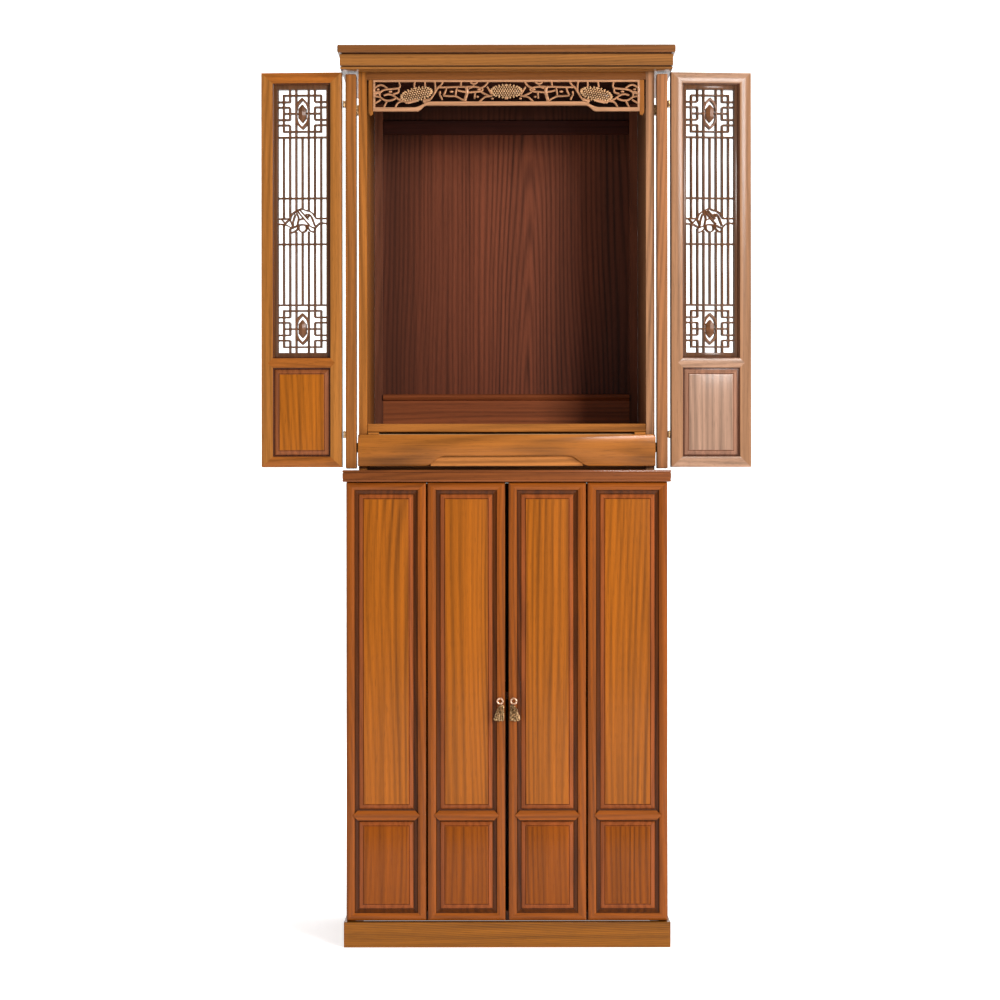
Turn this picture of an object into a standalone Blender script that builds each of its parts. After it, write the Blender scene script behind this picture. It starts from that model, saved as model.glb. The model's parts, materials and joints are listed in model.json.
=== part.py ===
"""Household altar cabinet: an upper altar box with folding lattice leaves on a base cupboard.

Metres, +Z up, front towards -Y, origin on the floor under the middle of the cabinet.
The upper leaves stand folded open and the lower doors stand closed.
"""
import math

import bmesh
import bpy
from mathutils import Matrix, Vector

# Overall widths and depth
CABINET_DEPTH = 0.480
UPPER_WIDTH = 0.549

# Heights, from the floor up
PLINTH_HEIGHT = 0.0467
LOWER_HEIGHT = 0.811
MID_BOARD_HEIGHT = 0.0217
UPPER_HEIGHT = 0.7384
MOULDING_HEIGHT = 0.0304
TOP_BOARD_HEIGHT = 0.0143

# How far each part stands out on either side: cornice and base past the upper cabinet, the board
# between them and the plinth past the base
CORNICE_REACH = 0.0373
LOWER_REACH = 0.0218
MID_BOARD_REACH = 0.0067
PLINTH_REACH = 0.0048

# Gaps
TOUCH = 0.0003
SWING_GAP = 0.0005
DOOR_HEAD_GAP = 0.0014
DOOR_FOOT_GAP = 0.0023
LEAF_HEAD_GAP = 0.0025
LEAF_FOOT_GAP = 0.0055
POST_GAP = 0.0033
DRAWER_SIDE_GAP = 0.0035

# Setbacks of the front faces behind the cornice front
DOOR_THICKNESS = 0.020
CORNICE_OVERHANG = 0.030
MID_BOARD_OVERHANG = 0.026
PLINTH_OVERHANG = 0.025
FRAME_SETBACK = 0.020

# Board thicknesses
UPPER_SIDE = 0.0156
LOWER_SIDE = 0.018
HEADER_BOARD = 0.018
CEILING_BOARD = 0.012
FLOOR_BOARD = 0.0152
CARCASS_BOTTOM = 0.006
BACK_BOARD = 0.009
BACK_REBATE = 0.012
LOWER_BOTTOM = 0.018
SHELF_BOARD = 0.015
PLINTH_BOARD = 0.021
EDGE = 0.0012

# Altar room
ALTAR_FLOOR_RISE = 0.0857
HEADER_DROP = 0.0140
BACK_STRIP_WIDTH = 0.0158
BACK_STRIP_THICKNESS = 0.0055
BACK_TOP_RAIL = 0.028
BACK_TOP_RAIL_DROP = 0.0325
LOW_PANEL_HEIGHT = 0.0541
LOW_PANEL_BEAD = 0.013
LOW_PANEL_THICKNESS = 0.0065
LOW_PANEL_BEAD_THICKNESS = 0.0125

# Door posts and their hinges
POST_WIDTH = 0.0196
POST_DEPTH = 0.050
POST_HEAD_GAP = 0.006
POST_FOOT_GAP = 0.003
POST_HINGE_HEIGHT = 0.018
POST_HINGE_DEPTH = 0.022
POST_HINGE_FROM_TOP = 0.055
POST_HINGE_FROM_FOOT = 0.030

# Folding leaves of the altar
HINGE_OFFSET = 0.0026
LEAF_OUTER_EXTRA = 0.0062
LEAF_MEETING_GAP = 0.0022
LEAF_POST_SETBACK = 0.002
LEAF_STILE = 0.023
LEAF_MEETING_STILE = 0.0169
LEAF_RAIL = 0.0212
LEAF_PANEL_HEIGHT = 0.1613
LEAF_CHAMFER = 0.002
LATTICE_THICKNESS = 0.006
LATTICE_SETBACK = 0.0025
LEFT_SWING = 184.0
RIGHT_SWING = 186.5
FOLD_SWING = 180.0

# Lower doors
DOOR_OUTER_EXTRA = 0.0041
DOOR_MEETING_GAP = 0.0030
DOOR_LEAF_GAP = 0.0028
DOOR_STILE = 0.022
DOOR_RAIL = 0.0203
DOOR_LOW_PANEL_HEIGHT = 0.1635
DOOR_CHAMFER = 0.003

# Raised panels
PANEL_EDGE = 0.006
PANEL_RAISE = 0.0035
LEAF_PANEL_BEVEL = 0.0115
DOOR_PANEL_BEVEL = 0.0155

# Lattice
BAR_SIDE_SPACE = 0.0102
BAR_WIDTH = 0.0026
LATTICE_BORDER_SIDE = 0.0065
LATTICE_BORDER_TOP = 0.0085
BLOCK_HEIGHT = 0.0885
BLOCK_RAIL = 0.0336
RING_HALF_HEIGHT = 0.0325
LOZENGE_HALF_HEIGHT = 0.0167
LOZENGE_HALF_WIDTH = 0.0100
PLAIN_BAND = 0.113

# Carved valance
VALANCE_HEIGHT = 0.0578
VALANCE_THICKNESS = 0.010
VALANCE_SETBACK = 0.004
VALANCE_BAR_WIDTH = 0.008
VALANCE_BAR_HEIGHT = 0.066
VALANCE_BAR_GAP = 0.0031
BLOOM_PROUD = 0.0035
BLOOM_BACK = 0.002
SIDE_BLOOM_TURN = 12.0

# Drawer
DRAWER_OVERLAP = 0.001
DRAWER_FOOT_GAP = 0.0075
DRAWER_FRONT_THICKNESS = 0.0177
DRAWER_TOP_GAP = 0.005
DRAWER_BOX_GAP = 0.0037
DRAWER_BACK_GAP = 0.029
DRAWER_WALL = 0.012
DRAWER_BASE = 0.006
GRIP_WIDTH = 0.3054
GRIP_FLAT = 0.2288
GRIP_HEIGHT = 0.019
GRIP_DEPTH = 0.009

# Pulls
PULL_HEIGHT = 0.029
PULL_WIDTH = 0.0205
PULL_THICKNESS = 0.004
PULL_RELIEF = 0.004
PULL_EYE_RADIUS = 0.0052
PULL_EYE_WIRE = 0.0014
PULL_RISE = 0.382
PULL_EDGE_GAP = 0.0018

# Heights worked out from the stack
LOWER_FOOT = PLINTH_HEIGHT + TOUCH
LOWER_TOP = LOWER_FOOT + LOWER_HEIGHT
MID_BOARD_FOOT = LOWER_TOP + TOUCH
MID_BOARD_TOP = MID_BOARD_FOOT + MID_BOARD_HEIGHT
UPPER_FOOT = MID_BOARD_TOP + TOUCH
MOULDING_FOOT = UPPER_FOOT + UPPER_HEIGHT
MOULDING_TOP = MOULDING_FOOT + MOULDING_HEIGHT
TOP_BOARD_FOOT = MOULDING_TOP + TOUCH
FLOOR_BOARD_TOP = UPPER_FOOT + ALTAR_FLOOR_RISE
FLOOR_BOARD_FOOT = FLOOR_BOARD_TOP - FLOOR_BOARD
ALTAR_OPENING_TOP = MOULDING_FOOT - HEADER_DROP
DOOR_FOOT = PLINTH_HEIGHT + DOOR_FOOT_GAP

# Widths worked out from the upper cabinet
CORNICE_WIDTH = UPPER_WIDTH + 2 * CORNICE_REACH
LOWER_WIDTH = UPPER_WIDTH + 2 * LOWER_REACH
MID_BOARD_WIDTH = LOWER_WIDTH + 2 * MID_BOARD_REACH
PLINTH_WIDTH = LOWER_WIDTH + 2 * PLINTH_REACH
DRAWER_FRONT_WIDTH = UPPER_WIDTH + 2 * DRAWER_OVERLAP
POST_INNER = UPPER_WIDTH / 2 + POST_GAP + 2 * TOUCH
POST_OUTER = POST_INNER + POST_WIDTH
LEAF_EDGE = POST_OUTER - LEAF_POST_SETBACK
LEAF_SPAN = LEAF_EDGE - 2 * TOUCH - LEAF_MEETING_GAP
LEAF_OUTER_WIDTH = (LEAF_SPAN + LEAF_OUTER_EXTRA) / 2
LEAF_INNER_WIDTH = (LEAF_SPAN - LEAF_OUTER_EXTRA) / 2
LEAF_OPENING_WIDTH = LEAF_INNER_WIDTH - LEAF_STILE - LEAF_MEETING_STILE
BAR_PITCH = (LEAF_OPENING_WIDTH / 2 - TOUCH - LATTICE_BORDER_SIDE - BAR_SIDE_SPACE) / 3
DOOR_SPAN = LOWER_WIDTH / 2 - DOOR_LEAF_GAP - DOOR_MEETING_GAP
DOOR_OUTER_WIDTH = (DOOR_SPAN + DOOR_OUTER_EXTRA) / 2
DOOR_INNER_WIDTH = (DOOR_SPAN - DOOR_OUTER_EXTRA) / 2

# Depths worked out from the cornice front
CORNICE_FRONT = -CABINET_DEPTH / 2
BACK = CABINET_DEPTH / 2
POST_FRONT = CORNICE_FRONT + CORNICE_OVERHANG
FRAME_FRONT = POST_FRONT + FRAME_SETBACK
DOOR_BACK = POST_FRONT - SWING_GAP
DOOR_FRONT = DOOR_BACK - DOOR_THICKNESS
HINGE_PLANE = POST_FRONT - SWING_GAP / 2
FOLD_PLANE = DOOR_FRONT - SWING_GAP / 2
PANEL_BACK = BACK - BACK_REBATE
PANEL_FRONT = PANEL_BACK - BACK_BOARD
UPPER_INSIDE = UPPER_WIDTH / 2 - UPPER_SIDE
LOWER_INSIDE = LOWER_WIDTH / 2 - LOWER_SIDE
VALANCE_WIDTH = 2 * (UPPER_INSIDE - VALANCE_BAR_GAP - VALANCE_BAR_WIDTH - TOUCH)

# The valance is drawn 495 parts wide and 57.8 parts tall, so its carving follows the board
CARVING_ACROSS = VALANCE_WIDTH / 495
CARVING_UP = VALANCE_HEIGHT / 57.8

for leftover in list(bpy.data.objects):
    bpy.data.objects.remove(leftover, do_unlink=True)

PARTS = bpy.data.collections.new("household_altar_cabinet")
CUTTERS = bpy.data.collections.new("cutters")
bpy.context.scene.collection.children.link(PARTS)
bpy.context.scene.collection.children.link(CUTTERS)


def finish(colour, roughness, metallic=0.0):
    """Plain coloured material for one piece."""
    material = bpy.data.materials.new("finish")
    material.use_nodes = True
    shader = material.node_tree.nodes["Principled BSDF"]
    shader.inputs["Base Color"].default_value = (*colour, 1.0)
    shader.inputs["Roughness"].default_value = roughness
    shader.inputs["Metallic"].default_value = metallic
    return material


HONEY_WOOD = (0.43, 0.17, 0.045)
RED_WOOD = (0.40, 0.13, 0.025)
PALE_WOOD = (0.46, 0.24, 0.11)
DARK_WOOD = (0.10, 0.032, 0.018)
BRONZE = (0.22, 0.15, 0.08)
LACQUER = 0.35


def add_piece(name, mesh, colour, roughness=LACQUER, metallic=0.0):
    """Names a finished mesh as one physical piece with a material of its own."""
    piece = bpy.data.objects.new(name, mesh)
    mesh.name = name
    material = finish(colour, roughness, metallic)
    material.name = name
    mesh.materials.clear()
    mesh.materials.append(material)
    PARTS.objects.link(piece)
    return piece


def add_cutter(name, mesh):
    """A shape that only cuts another: kept out of renders and drawn as a wire."""
    cutter = bpy.data.objects.new(name, mesh)
    cutter.hide_render = True
    cutter.display_type = "WIRE"
    CUTTERS.objects.link(cutter)
    return cutter


def block_mesh(low, high):
    """Box between two corners."""
    low, high = Vector(low), Vector(high)
    shape = bmesh.new()
    bmesh.ops.create_cube(shape, size=1.0)
    bmesh.ops.scale(shape, vec=high - low, verts=shape.verts)
    bmesh.ops.translate(shape, vec=(low + high) / 2, verts=shape.verts)
    return mesh_from(shape)


def mesh_from(shape):
    """Turns a bmesh into a mesh with its faces pointing out."""
    bmesh.ops.recalc_face_normals(shape, faces=shape.faces)
    mesh = bpy.data.meshes.new("shape")
    shape.to_mesh(mesh)
    shape.free()
    return mesh


def board(name, low, high, colour, edge=0.0):
    """Sawn board between two corners, its long edges eased."""
    piece = add_piece(name, block_mesh(low, high), colour)
    if edge:
        ease = piece.modifiers.new("eased_edges", "BEVEL")
        ease.width = edge
        ease.segments = 1
        ease.limit_method = "ANGLE"
    return piece


def prism_mesh(outline, start, end, along):
    """Extrudes a closed outline from start to end along X, Y or Z.

    The outline's points are (Y, Z) along X, (X, Z) along Y and (X, Y) along Z.
    """
    axis = "XYZ".index(along)
    places = [index for index in range(3) if index != axis]
    shape = bmesh.new()
    corners = []
    for first, second in outline:
        point = [0.0, 0.0, 0.0]
        point[axis] = start
        point[places[0]] = first
        point[places[1]] = second
        corners.append(shape.verts.new(point))
    face = shape.faces.new(corners)
    moved = bmesh.ops.extrude_face_region(shape, geom=[face])
    shift = [0.0, 0.0, 0.0]
    shift[axis] = end - start
    verts = [part for part in moved["geom"] if isinstance(part, bmesh.types.BMVert)]
    bmesh.ops.translate(shape, vec=shift, verts=verts)
    return mesh_from(shape)


def fretwork_mesh(outline, openings, front, thickness):
    """Flat plate in the XZ plane, sawn through with openings, its front face at the given Y."""
    curve = bpy.data.curves.new("fretwork", "CURVE")
    curve.dimensions = "2D"
    curve.fill_mode = "BOTH"
    curve.extrude = thickness / 2
    for ring in [outline, *openings]:
        spline = curve.splines.new("POLY")
        spline.points.add(len(ring) - 1)
        for point, (across, up) in zip(spline.points, ring):
            point.co = (across, up, 0.0, 1.0)
        spline.use_cyclic_u = True
    drawing = bpy.data.objects.new("fretwork", curve)
    PARTS.objects.link(drawing)
    bpy.context.view_layer.update()
    evaluated = drawing.evaluated_get(bpy.context.evaluated_depsgraph_get())
    mesh = bpy.data.meshes.new_from_object(evaluated)
    bpy.data.objects.remove(drawing, do_unlink=True)
    bpy.data.curves.remove(curve)
    shape = bmesh.new()
    shape.from_mesh(mesh)
    bpy.data.meshes.remove(mesh)
    bmesh.ops.remove_doubles(shape, verts=shape.verts, dist=0.00001)
    bmesh.ops.rotate(shape, verts=shape.verts, matrix=Matrix.Rotation(math.radians(90), 3, "X"))
    bmesh.ops.translate(shape, vec=(0.0, front + thickness / 2, 0.0), verts=shape.verts)
    return mesh_from(shape)


def cut(piece, mesh, operation="DIFFERENCE"):
    """Cuts, joins or trims a piece with a hidden shape."""
    cutter = add_cutter(piece.name + "_" + operation.lower(), mesh)
    cutter.parent = piece
    joint = piece.modifiers.new(operation.lower(), "BOOLEAN")
    joint.operation = operation
    joint.object = cutter
    joint.solver = "EXACT"
    return cutter


def rectangle(left, right, low, high):
    """Corners of an upright rectangle, anticlockwise."""
    return [(left, low), (right, low), (right, high), (left, high)]


# Cornice: a top board on a mitred moulding that runs along the front and both sides
def cornice_profile(rail):
    """Moulding section as (distance out from the cornice's widest line, height)."""
    fillet, face, bead, nose = -0.0015, -0.0045, -0.0055, -0.0078
    foot, top = MOULDING_FOOT, MOULDING_TOP
    return [
        (-rail, top), (fillet, top), (fillet, top - 0.0024), (face, top - 0.0056),
        (face, foot + 0.0075), (bead - 0.001, foot + 0.0062), (bead, foot + 0.0045),
        (bead, foot + 0.0018), (nose, foot), (-rail, foot),
    ]


def make_cornice():
    half = CORNICE_WIDTH / 2
    board("cornice_top_board", (-half, CORNICE_FRONT, TOP_BOARD_FOOT),
          (half, BACK, TOP_BOARD_FOOT + TOP_BOARD_HEIGHT), HONEY_WOOD, 0.002)
    side_rail = half - UPPER_WIDTH / 2 - TOUCH
    front_rail = FRAME_FRONT - CORNICE_FRONT - TOUCH
    outline = [(CORNICE_FRONT - out, up) for out, up in cornice_profile(front_rail)]
    front = add_piece("cornice_front_moulding", prism_mesh(outline, -half, half, "X"), HONEY_WOOD)
    inner = half - side_rail
    plan = [
        (-half - 0.01, CORNICE_FRONT - 0.01), (half + 0.01, CORNICE_FRONT - 0.01),
        (inner, CORNICE_FRONT + side_rail), (inner, FRAME_FRONT),
        (-inner, FRAME_FRONT), (-inner, CORNICE_FRONT + side_rail),
    ]
    cut(front, prism_mesh(plan, MOULDING_FOOT - 0.01, MOULDING_TOP + 0.01, "Z"), "INTERSECT")
    for side, sign in (("left", -1), ("right", 1)):
        outline = [(sign * (half + out), up) for out, up in cornice_profile(side_rail)]
        rail = add_piece("cornice_" + side + "_moulding",
                         prism_mesh(outline, CORNICE_FRONT, BACK, "Y"), HONEY_WOOD)
        slack = TOUCH * math.sqrt(2)
        before, far, near = CORNICE_FRONT - 0.01, sign * (half + 0.01), sign * (half - 0.06)
        corner = [(far, before), (far, before + slack), (near, CORNICE_FRONT + 0.06 + slack),
                  (near, before)]
        cut(rail, prism_mesh(corner, MOULDING_FOOT - 0.01, MOULDING_TOP + 0.01, "Z"))


# Upper carcass: two sides, header, ceiling, altar floor, bottom and a panelled back
def make_upper_carcass():
    half = UPPER_WIDTH / 2
    inside = UPPER_INSIDE - TOUCH
    for side, sign in (("left", -1), ("right", 1)):
        ends = sorted((sign * half, sign * UPPER_INSIDE))
        board("upper_side_" + side, (ends[0], FRAME_FRONT, UPPER_FOOT), (ends[1], BACK, MOULDING_TOP),
              HONEY_WOOD)
    board("altar_header", (-inside, FRAME_FRONT, ALTAR_OPENING_TOP),
          (inside, FRAME_FRONT + HEADER_BOARD, MOULDING_TOP), RED_WOOD)
    behind_header = FRAME_FRONT + HEADER_BOARD + TOUCH
    before_back = PANEL_FRONT - TOUCH
    board("altar_ceiling", (-inside, behind_header, ALTAR_OPENING_TOP),
          (inside, before_back, ALTAR_OPENING_TOP + CEILING_BOARD), DARK_WOOD)
    board("altar_floor_board", (-inside, FRAME_FRONT + 0.001, FLOOR_BOARD_FOOT),
          (inside, before_back - LOW_PANEL_THICKNESS - TOUCH, FLOOR_BOARD_TOP), HONEY_WOOD, EDGE)
    board("upper_bottom_board", (-inside, behind_header, UPPER_FOOT),
          (inside, before_back, UPPER_FOOT + CARCASS_BOTTOM), HONEY_WOOD)
    board("altar_back_panel", (-inside, PANEL_FRONT, UPPER_FOOT), (inside, PANEL_BACK, MOULDING_TOP),
          DARK_WOOD)
    head = ALTAR_OPENING_TOP - TOUCH
    strip_inner = inside - BACK_STRIP_WIDTH
    for side, sign in (("left", -1), ("right", 1)):
        ends = sorted((sign * inside, sign * strip_inner))
        board("altar_back_strip_" + side, (ends[0], before_back - BACK_STRIP_THICKNESS, FLOOR_BOARD_FOOT),
              (ends[1], before_back, head), DARK_WOOD)
    between = strip_inner - TOUCH
    rail_top = ALTAR_OPENING_TOP - BACK_TOP_RAIL_DROP
    board("altar_back_top_rail", (-between, before_back - BACK_STRIP_THICKNESS, rail_top - BACK_TOP_RAIL),
          (between, before_back, rail_top), DARK_WOOD, EDGE)
    bead_foot = FLOOR_BOARD_TOP + LOW_PANEL_HEIGHT
    bead_front = before_back - LOW_PANEL_BEAD_THICKNESS
    radius = LOW_PANEL_BEAD / 2
    section = [(before_back, FLOOR_BOARD_FOOT), (before_back, bead_foot + LOW_PANEL_BEAD)]
    for step in range(5):
        turn = math.radians(90 - 45 * step)
        section.append((bead_front + radius * (1 - math.cos(turn)),
                        bead_foot + radius * (1 + math.sin(turn))))
    section += [(before_back - LOW_PANEL_THICKNESS, bead_foot),
                (before_back - LOW_PANEL_THICKNESS, FLOOR_BOARD_FOOT)]
    add_piece("altar_back_low_rail", prism_mesh(section, -between, between, "X"), DARK_WOOD)


# Carved valance: an openwork board under the header, between two plain hanging bars
def valance_outline():
    """Board outline: straight head, and a foot that rises through an ogee to a flat arch."""
    half = VALANCE_WIDTH / 2
    low = -VALANCE_HEIGHT
    points = [(half, 0.0), (-half, 0.0), (-half, low)]
    steps = 6
    arch = []
    for step in range(steps + 1):
        share = step / steps
        ease = (1 - math.cos(math.pi * share)) / 2
        arch.append(((18 * share - 166) * CARVING_ACROSS, low + 10.7 * ease * CARVING_UP))
    points += arch
    points += [(-across, up) for across, up in reversed(arch)]
    points.append((half, low))
    return points


def leaf_opening(across, up, length, width, turn):
    """Six-sided opening between two stems, pointed at its ends, turned by some degrees."""
    turn = math.radians(turn)
    points = []
    for index in range(6):
        angle = math.pi / 3 * index
        along = length / 2 * math.cos(angle)
        over = width / 2 * math.sin(angle) / math.sin(math.pi / 3)
        points.append((across + along * math.cos(turn) - over * math.sin(turn),
                       up + along * math.sin(turn) + over * math.cos(turn)))
    return points


def valance_openings():
    """Openings between the vines, mirrored about the middle.

    Each is (across, up, length, width) in parts of the drawing and a turn in degrees, for the right half.
    """
    places = [
        (31.0, -34.5, 14, 4.4, 12), (22.5, -6.2, 17, 3.4, -3), (47.0, -8.0, 17, 5.6, 2),
        (72.8, -8.8, 20, 7.2, -1), (104.3, -7.2, 34, 4.4, 1), (144.5, -8.4, 15, 5.6, 10),
        (163.1, -7.8, 15, 4.4, -2),
        (186.0, -9.4, 23, 7.0, -14), (212.5, -8.4, 23, 6.6, -6), (235.0, -13.5, 19, 10.0, -56),
        (54.5, -16.8, 22, 5.0, -1), (81.0, -17.2, 15, 4.6, 6), (106.0, -18.8, 24, 11.4, 2),
        (125.5, -21.5, 14, 6.0, -38), (214.0, -19.5, 27, 4.8, -16), (213.5, -31.5, 18, 9.6, -12),
        (238.8, -33.0, 16, 7.0, 86), (47.6, -29.2, 16, 11.6, -3), (66.6, -28.6, 16, 13.0, 4),
        (84.6, -26.6, 13, 7.4, 12), (101.0, -34.4, 34, 5.4, 3), (128.0, -34.6, 15, 5.0, -12),
        (176.5, -46.0, 26, 5.6, -1), (213.5, -45.4, 15, 8.2, -12), (232.5, -46.8, 14, 6.0, 2),
    ]
    openings = []
    for across, up, length, width, turn in places:
        for side in (1, -1):
            openings.append([(side * x * CARVING_ACROSS, z * CARVING_UP)
                             for x, z in leaf_opening(across, up, length, width, turn)])
    return openings


def bloom_mesh(turn, across, drop, front):
    """Domed chrysanthemum head with a lobed rim. Its flat back stays inside the board."""
    top = ALTAR_OPENING_TOP - TOUCH
    shape = bmesh.new()
    bmesh.ops.create_uvsphere(shape, u_segments=14, v_segments=4, radius=1.0)
    for vert in shape.verts:
        angle = math.atan2(vert.co.y, vert.co.x)
        lobe = 1.0 + 0.07 * math.cos(7 * angle)
        vert.co.x *= lobe * 31
        vert.co.y *= lobe * 13
        vert.co.z = max(vert.co.z * (BLOOM_PROUD + VALANCE_THICKNESS / 2), -BLOOM_BACK)
    bmesh.ops.rotate(shape, verts=shape.verts, matrix=Matrix.Rotation(math.radians(turn), 3, "Z"))
    bmesh.ops.translate(shape, vec=(across, -drop, 0.0), verts=shape.verts)
    bmesh.ops.scale(shape, vec=(CARVING_ACROSS, CARVING_UP, 1.0), verts=shape.verts)
    bmesh.ops.rotate(shape, verts=shape.verts, matrix=Matrix.Rotation(math.radians(90), 3, "X"))
    bmesh.ops.translate(shape, vec=(0.0, front + VALANCE_THICKNESS / 2, top), verts=shape.verts)
    return mesh_from(shape)


def make_valance():
    front = FRAME_FRONT + VALANCE_SETBACK
    top = ALTAR_OPENING_TOP - TOUCH
    outline = [(x, top + z) for x, z in valance_outline()]
    openings = [[(x, top + z) for x, z in ring] for ring in valance_openings()]
    mesh = fretwork_mesh(outline, openings, front, VALANCE_THICKNESS)
    valance = add_piece("carved_valance", mesh, PALE_WOOD)
    cut(valance, bloom_mesh(0.0, 0.0, 20.8, front), "UNION")
    for sign in (-1, 1):
        cut(valance, bloom_mesh(-sign * SIDE_BLOOM_TURN, sign * 167.0, 26.3, front), "UNION")
    inner = VALANCE_WIDTH / 2 + TOUCH
    outer = inner + VALANCE_BAR_WIDTH
    for side, sign in (("left", -1), ("right", 1)):
        foot = top - VALANCE_BAR_HEIGHT
        tip = VALANCE_BAR_WIDTH * 0.8
        section = [(sign * inner, top), (sign * outer, top), (sign * outer, foot + tip),
                   (sign * (outer - tip / 2), foot), (sign * inner, foot + tip / 2)]
        add_piece("valance_bar_" + side, prism_mesh(section, front, front + VALANCE_THICKNESS, "Y"),
                  HONEY_WOOD)


# Drawer under the altar floor: a wide front with a long finger scoop, and a tray behind it
def make_drawer():
    top = FLOOR_BOARD_FOOT - DRAWER_TOP_GAP
    foot = MID_BOARD_TOP + DRAWER_FOOT_GAP
    back = FRAME_FRONT - TOUCH
    front = back - DRAWER_FRONT_THICKNESS
    half = DRAWER_FRONT_WIDTH / 2
    face = board("drawer_front", (-half, front, foot), (half, back, top), HONEY_WOOD, EDGE)
    scoop = [(-GRIP_WIDTH / 2, foot - 0.01), (GRIP_WIDTH / 2, foot - 0.01)]
    run = (GRIP_WIDTH - GRIP_FLAT) / 2
    shoulder = []
    for step in range(7):
        share = step / 6
        shoulder.append((GRIP_WIDTH / 2 - run * share, foot + GRIP_HEIGHT * math.sin(math.pi / 2 * share)))
    scoop += shoulder
    scoop += [(-across, up) for across, up in reversed(shoulder)]
    cut(face, prism_mesh(scoop, front - 0.01, front + GRIP_DEPTH, "Y"))
    inner = UPPER_INSIDE - DRAWER_SIDE_GAP
    tray_foot = UPPER_FOOT + CARCASS_BOTTOM + TOUCH
    tray_head = FLOOR_BOARD_FOOT - DRAWER_BOX_GAP
    tray_front = FRAME_FRONT
    tray_back = PANEL_FRONT - DRAWER_BACK_GAP
    tray = board("drawer_tray", (-inner, tray_front, tray_foot), (inner, tray_back, tray_head), PALE_WOOD)
    hollow = block_mesh(
        (-inner + DRAWER_WALL, tray_front + DRAWER_WALL, tray_foot + DRAWER_BASE),
        (inner - DRAWER_WALL, tray_back - DRAWER_WALL, tray_head + 0.01))
    cut(tray, hollow)


# Lower carcass, its shelf, the board between the two cabinets and the plinth frame
def make_lower_carcass():
    half = LOWER_WIDTH / 2
    inside = LOWER_INSIDE - TOUCH
    for side, sign in (("left", -1), ("right", 1)):
        ends = sorted((sign * half, sign * LOWER_INSIDE))
        board("lower_side_" + side, (ends[0], POST_FRONT, LOWER_FOOT), (ends[1], BACK, LOWER_TOP), RED_WOOD)
    before_back = PANEL_FRONT - TOUCH
    board("lower_back_board", (-inside, PANEL_FRONT, LOWER_FOOT), (inside, PANEL_BACK, LOWER_TOP), RED_WOOD)
    board("lower_bottom_board", (-inside, POST_FRONT, LOWER_FOOT),
          (inside, before_back, LOWER_FOOT + LOWER_BOTTOM), RED_WOOD)
    middle = LOWER_FOOT + LOWER_HEIGHT / 2
    board("lower_shelf", (-inside, POST_FRONT + 0.050, middle), (inside, before_back, middle + SHELF_BOARD),
          RED_WOOD, EDGE)
    half = MID_BOARD_WIDTH / 2
    board("middle_board", (-half, POST_FRONT - MID_BOARD_OVERHANG, MID_BOARD_FOOT),
          (half, BACK, MID_BOARD_TOP), RED_WOOD, 0.0018)
    half = PLINTH_WIDTH / 2
    front = POST_FRONT - PLINTH_OVERHANG
    plinth = board("plinth_frame", (-half, front, 0.0), (half, BACK, PLINTH_HEIGHT), HONEY_WOOD)
    inner = half - PLINTH_BOARD
    cut(plinth, block_mesh((-inner, front + PLINTH_BOARD, -0.01),
                           (inner, BACK - PLINTH_BOARD, PLINTH_HEIGHT + 0.01)))
    chamfer = 0.0035
    head = PLINTH_HEIGHT - chamfer * 2.5
    bevel = [(front - 0.01, head), (front, head), (front + chamfer, PLINTH_HEIGHT),
             (front + chamfer, PLINTH_HEIGHT + 0.01), (front - 0.01, PLINTH_HEIGHT + 0.01)]
    cut(plinth, prism_mesh(bevel, -half - 0.01, half + 0.01, "X"))


# Door posts: slim uprights that carry the altar leaves, on small hinges off the cabinet sides
def make_posts():
    foot = MID_BOARD_TOP + POST_FOOT_GAP
    head = MOULDING_FOOT - POST_HEAD_GAP
    for side, sign in (("left", -1), ("right", 1)):
        ends = sorted((sign * POST_INNER, sign * POST_OUTER))
        board("door_post_" + side, (ends[0], POST_FRONT, foot), (ends[1], POST_FRONT + POST_DEPTH, head),
              HONEY_WOOD, EDGE)
        ends = sorted((sign * (UPPER_WIDTH / 2 + TOUCH), sign * (POST_INNER - TOUCH)))
        start = FRAME_FRONT + TOUCH
        for level, base in (("upper", head - POST_HINGE_FROM_TOP - POST_HINGE_HEIGHT),
                            ("lower", foot + POST_HINGE_FROM_FOOT)):
            add_piece("post_hinge_" + side + "_" + level,
                      block_mesh((ends[0], start, base), (ends[1], start + POST_HINGE_DEPTH,
                                                          base + POST_HINGE_HEIGHT)),
                      BRONZE, 0.4, 0.9)


# Leaves and doors: a frame with two openings, filled with a lattice or with raised panels
def leaf_frame(name, left, right, foot, head, openings, chamfer, colour):
    """Door frame of stiles and rails with its outer arrises chamfered."""
    frame = board(name, (left, DOOR_FRONT, foot), (right, DOOR_BACK, head), colour, chamfer)
    for low, high in openings:
        cut(frame, block_mesh((low[0], DOOR_FRONT - 0.01, low[1]), (high[0], DOOR_BACK + 0.01, high[1])))
    return frame


def raised_panel(name, low, high, bevel, colour):
    """Panel in the middle of the leaf's thickness, with a raised field on both faces."""
    middle = (DOOR_FRONT + DOOR_BACK) / 2
    shape = bmesh.new()
    bmesh.ops.create_cube(shape, size=1.0)
    bmesh.ops.scale(shape, vec=(high[0] - low[0] - 2 * TOUCH, PANEL_EDGE, high[1] - low[1] - 2 * TOUCH),
                    verts=shape.verts)
    bmesh.ops.translate(shape, vec=((low[0] + high[0]) / 2, middle, (low[1] + high[1]) / 2),
                        verts=shape.verts)
    faces = [face for face in shape.faces if abs(face.normal.y) > 0.9]
    bmesh.ops.inset_individual(shape, faces=faces, thickness=bevel, depth=PANEL_RAISE)
    return add_piece(name, mesh_from(shape), colour)


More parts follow.
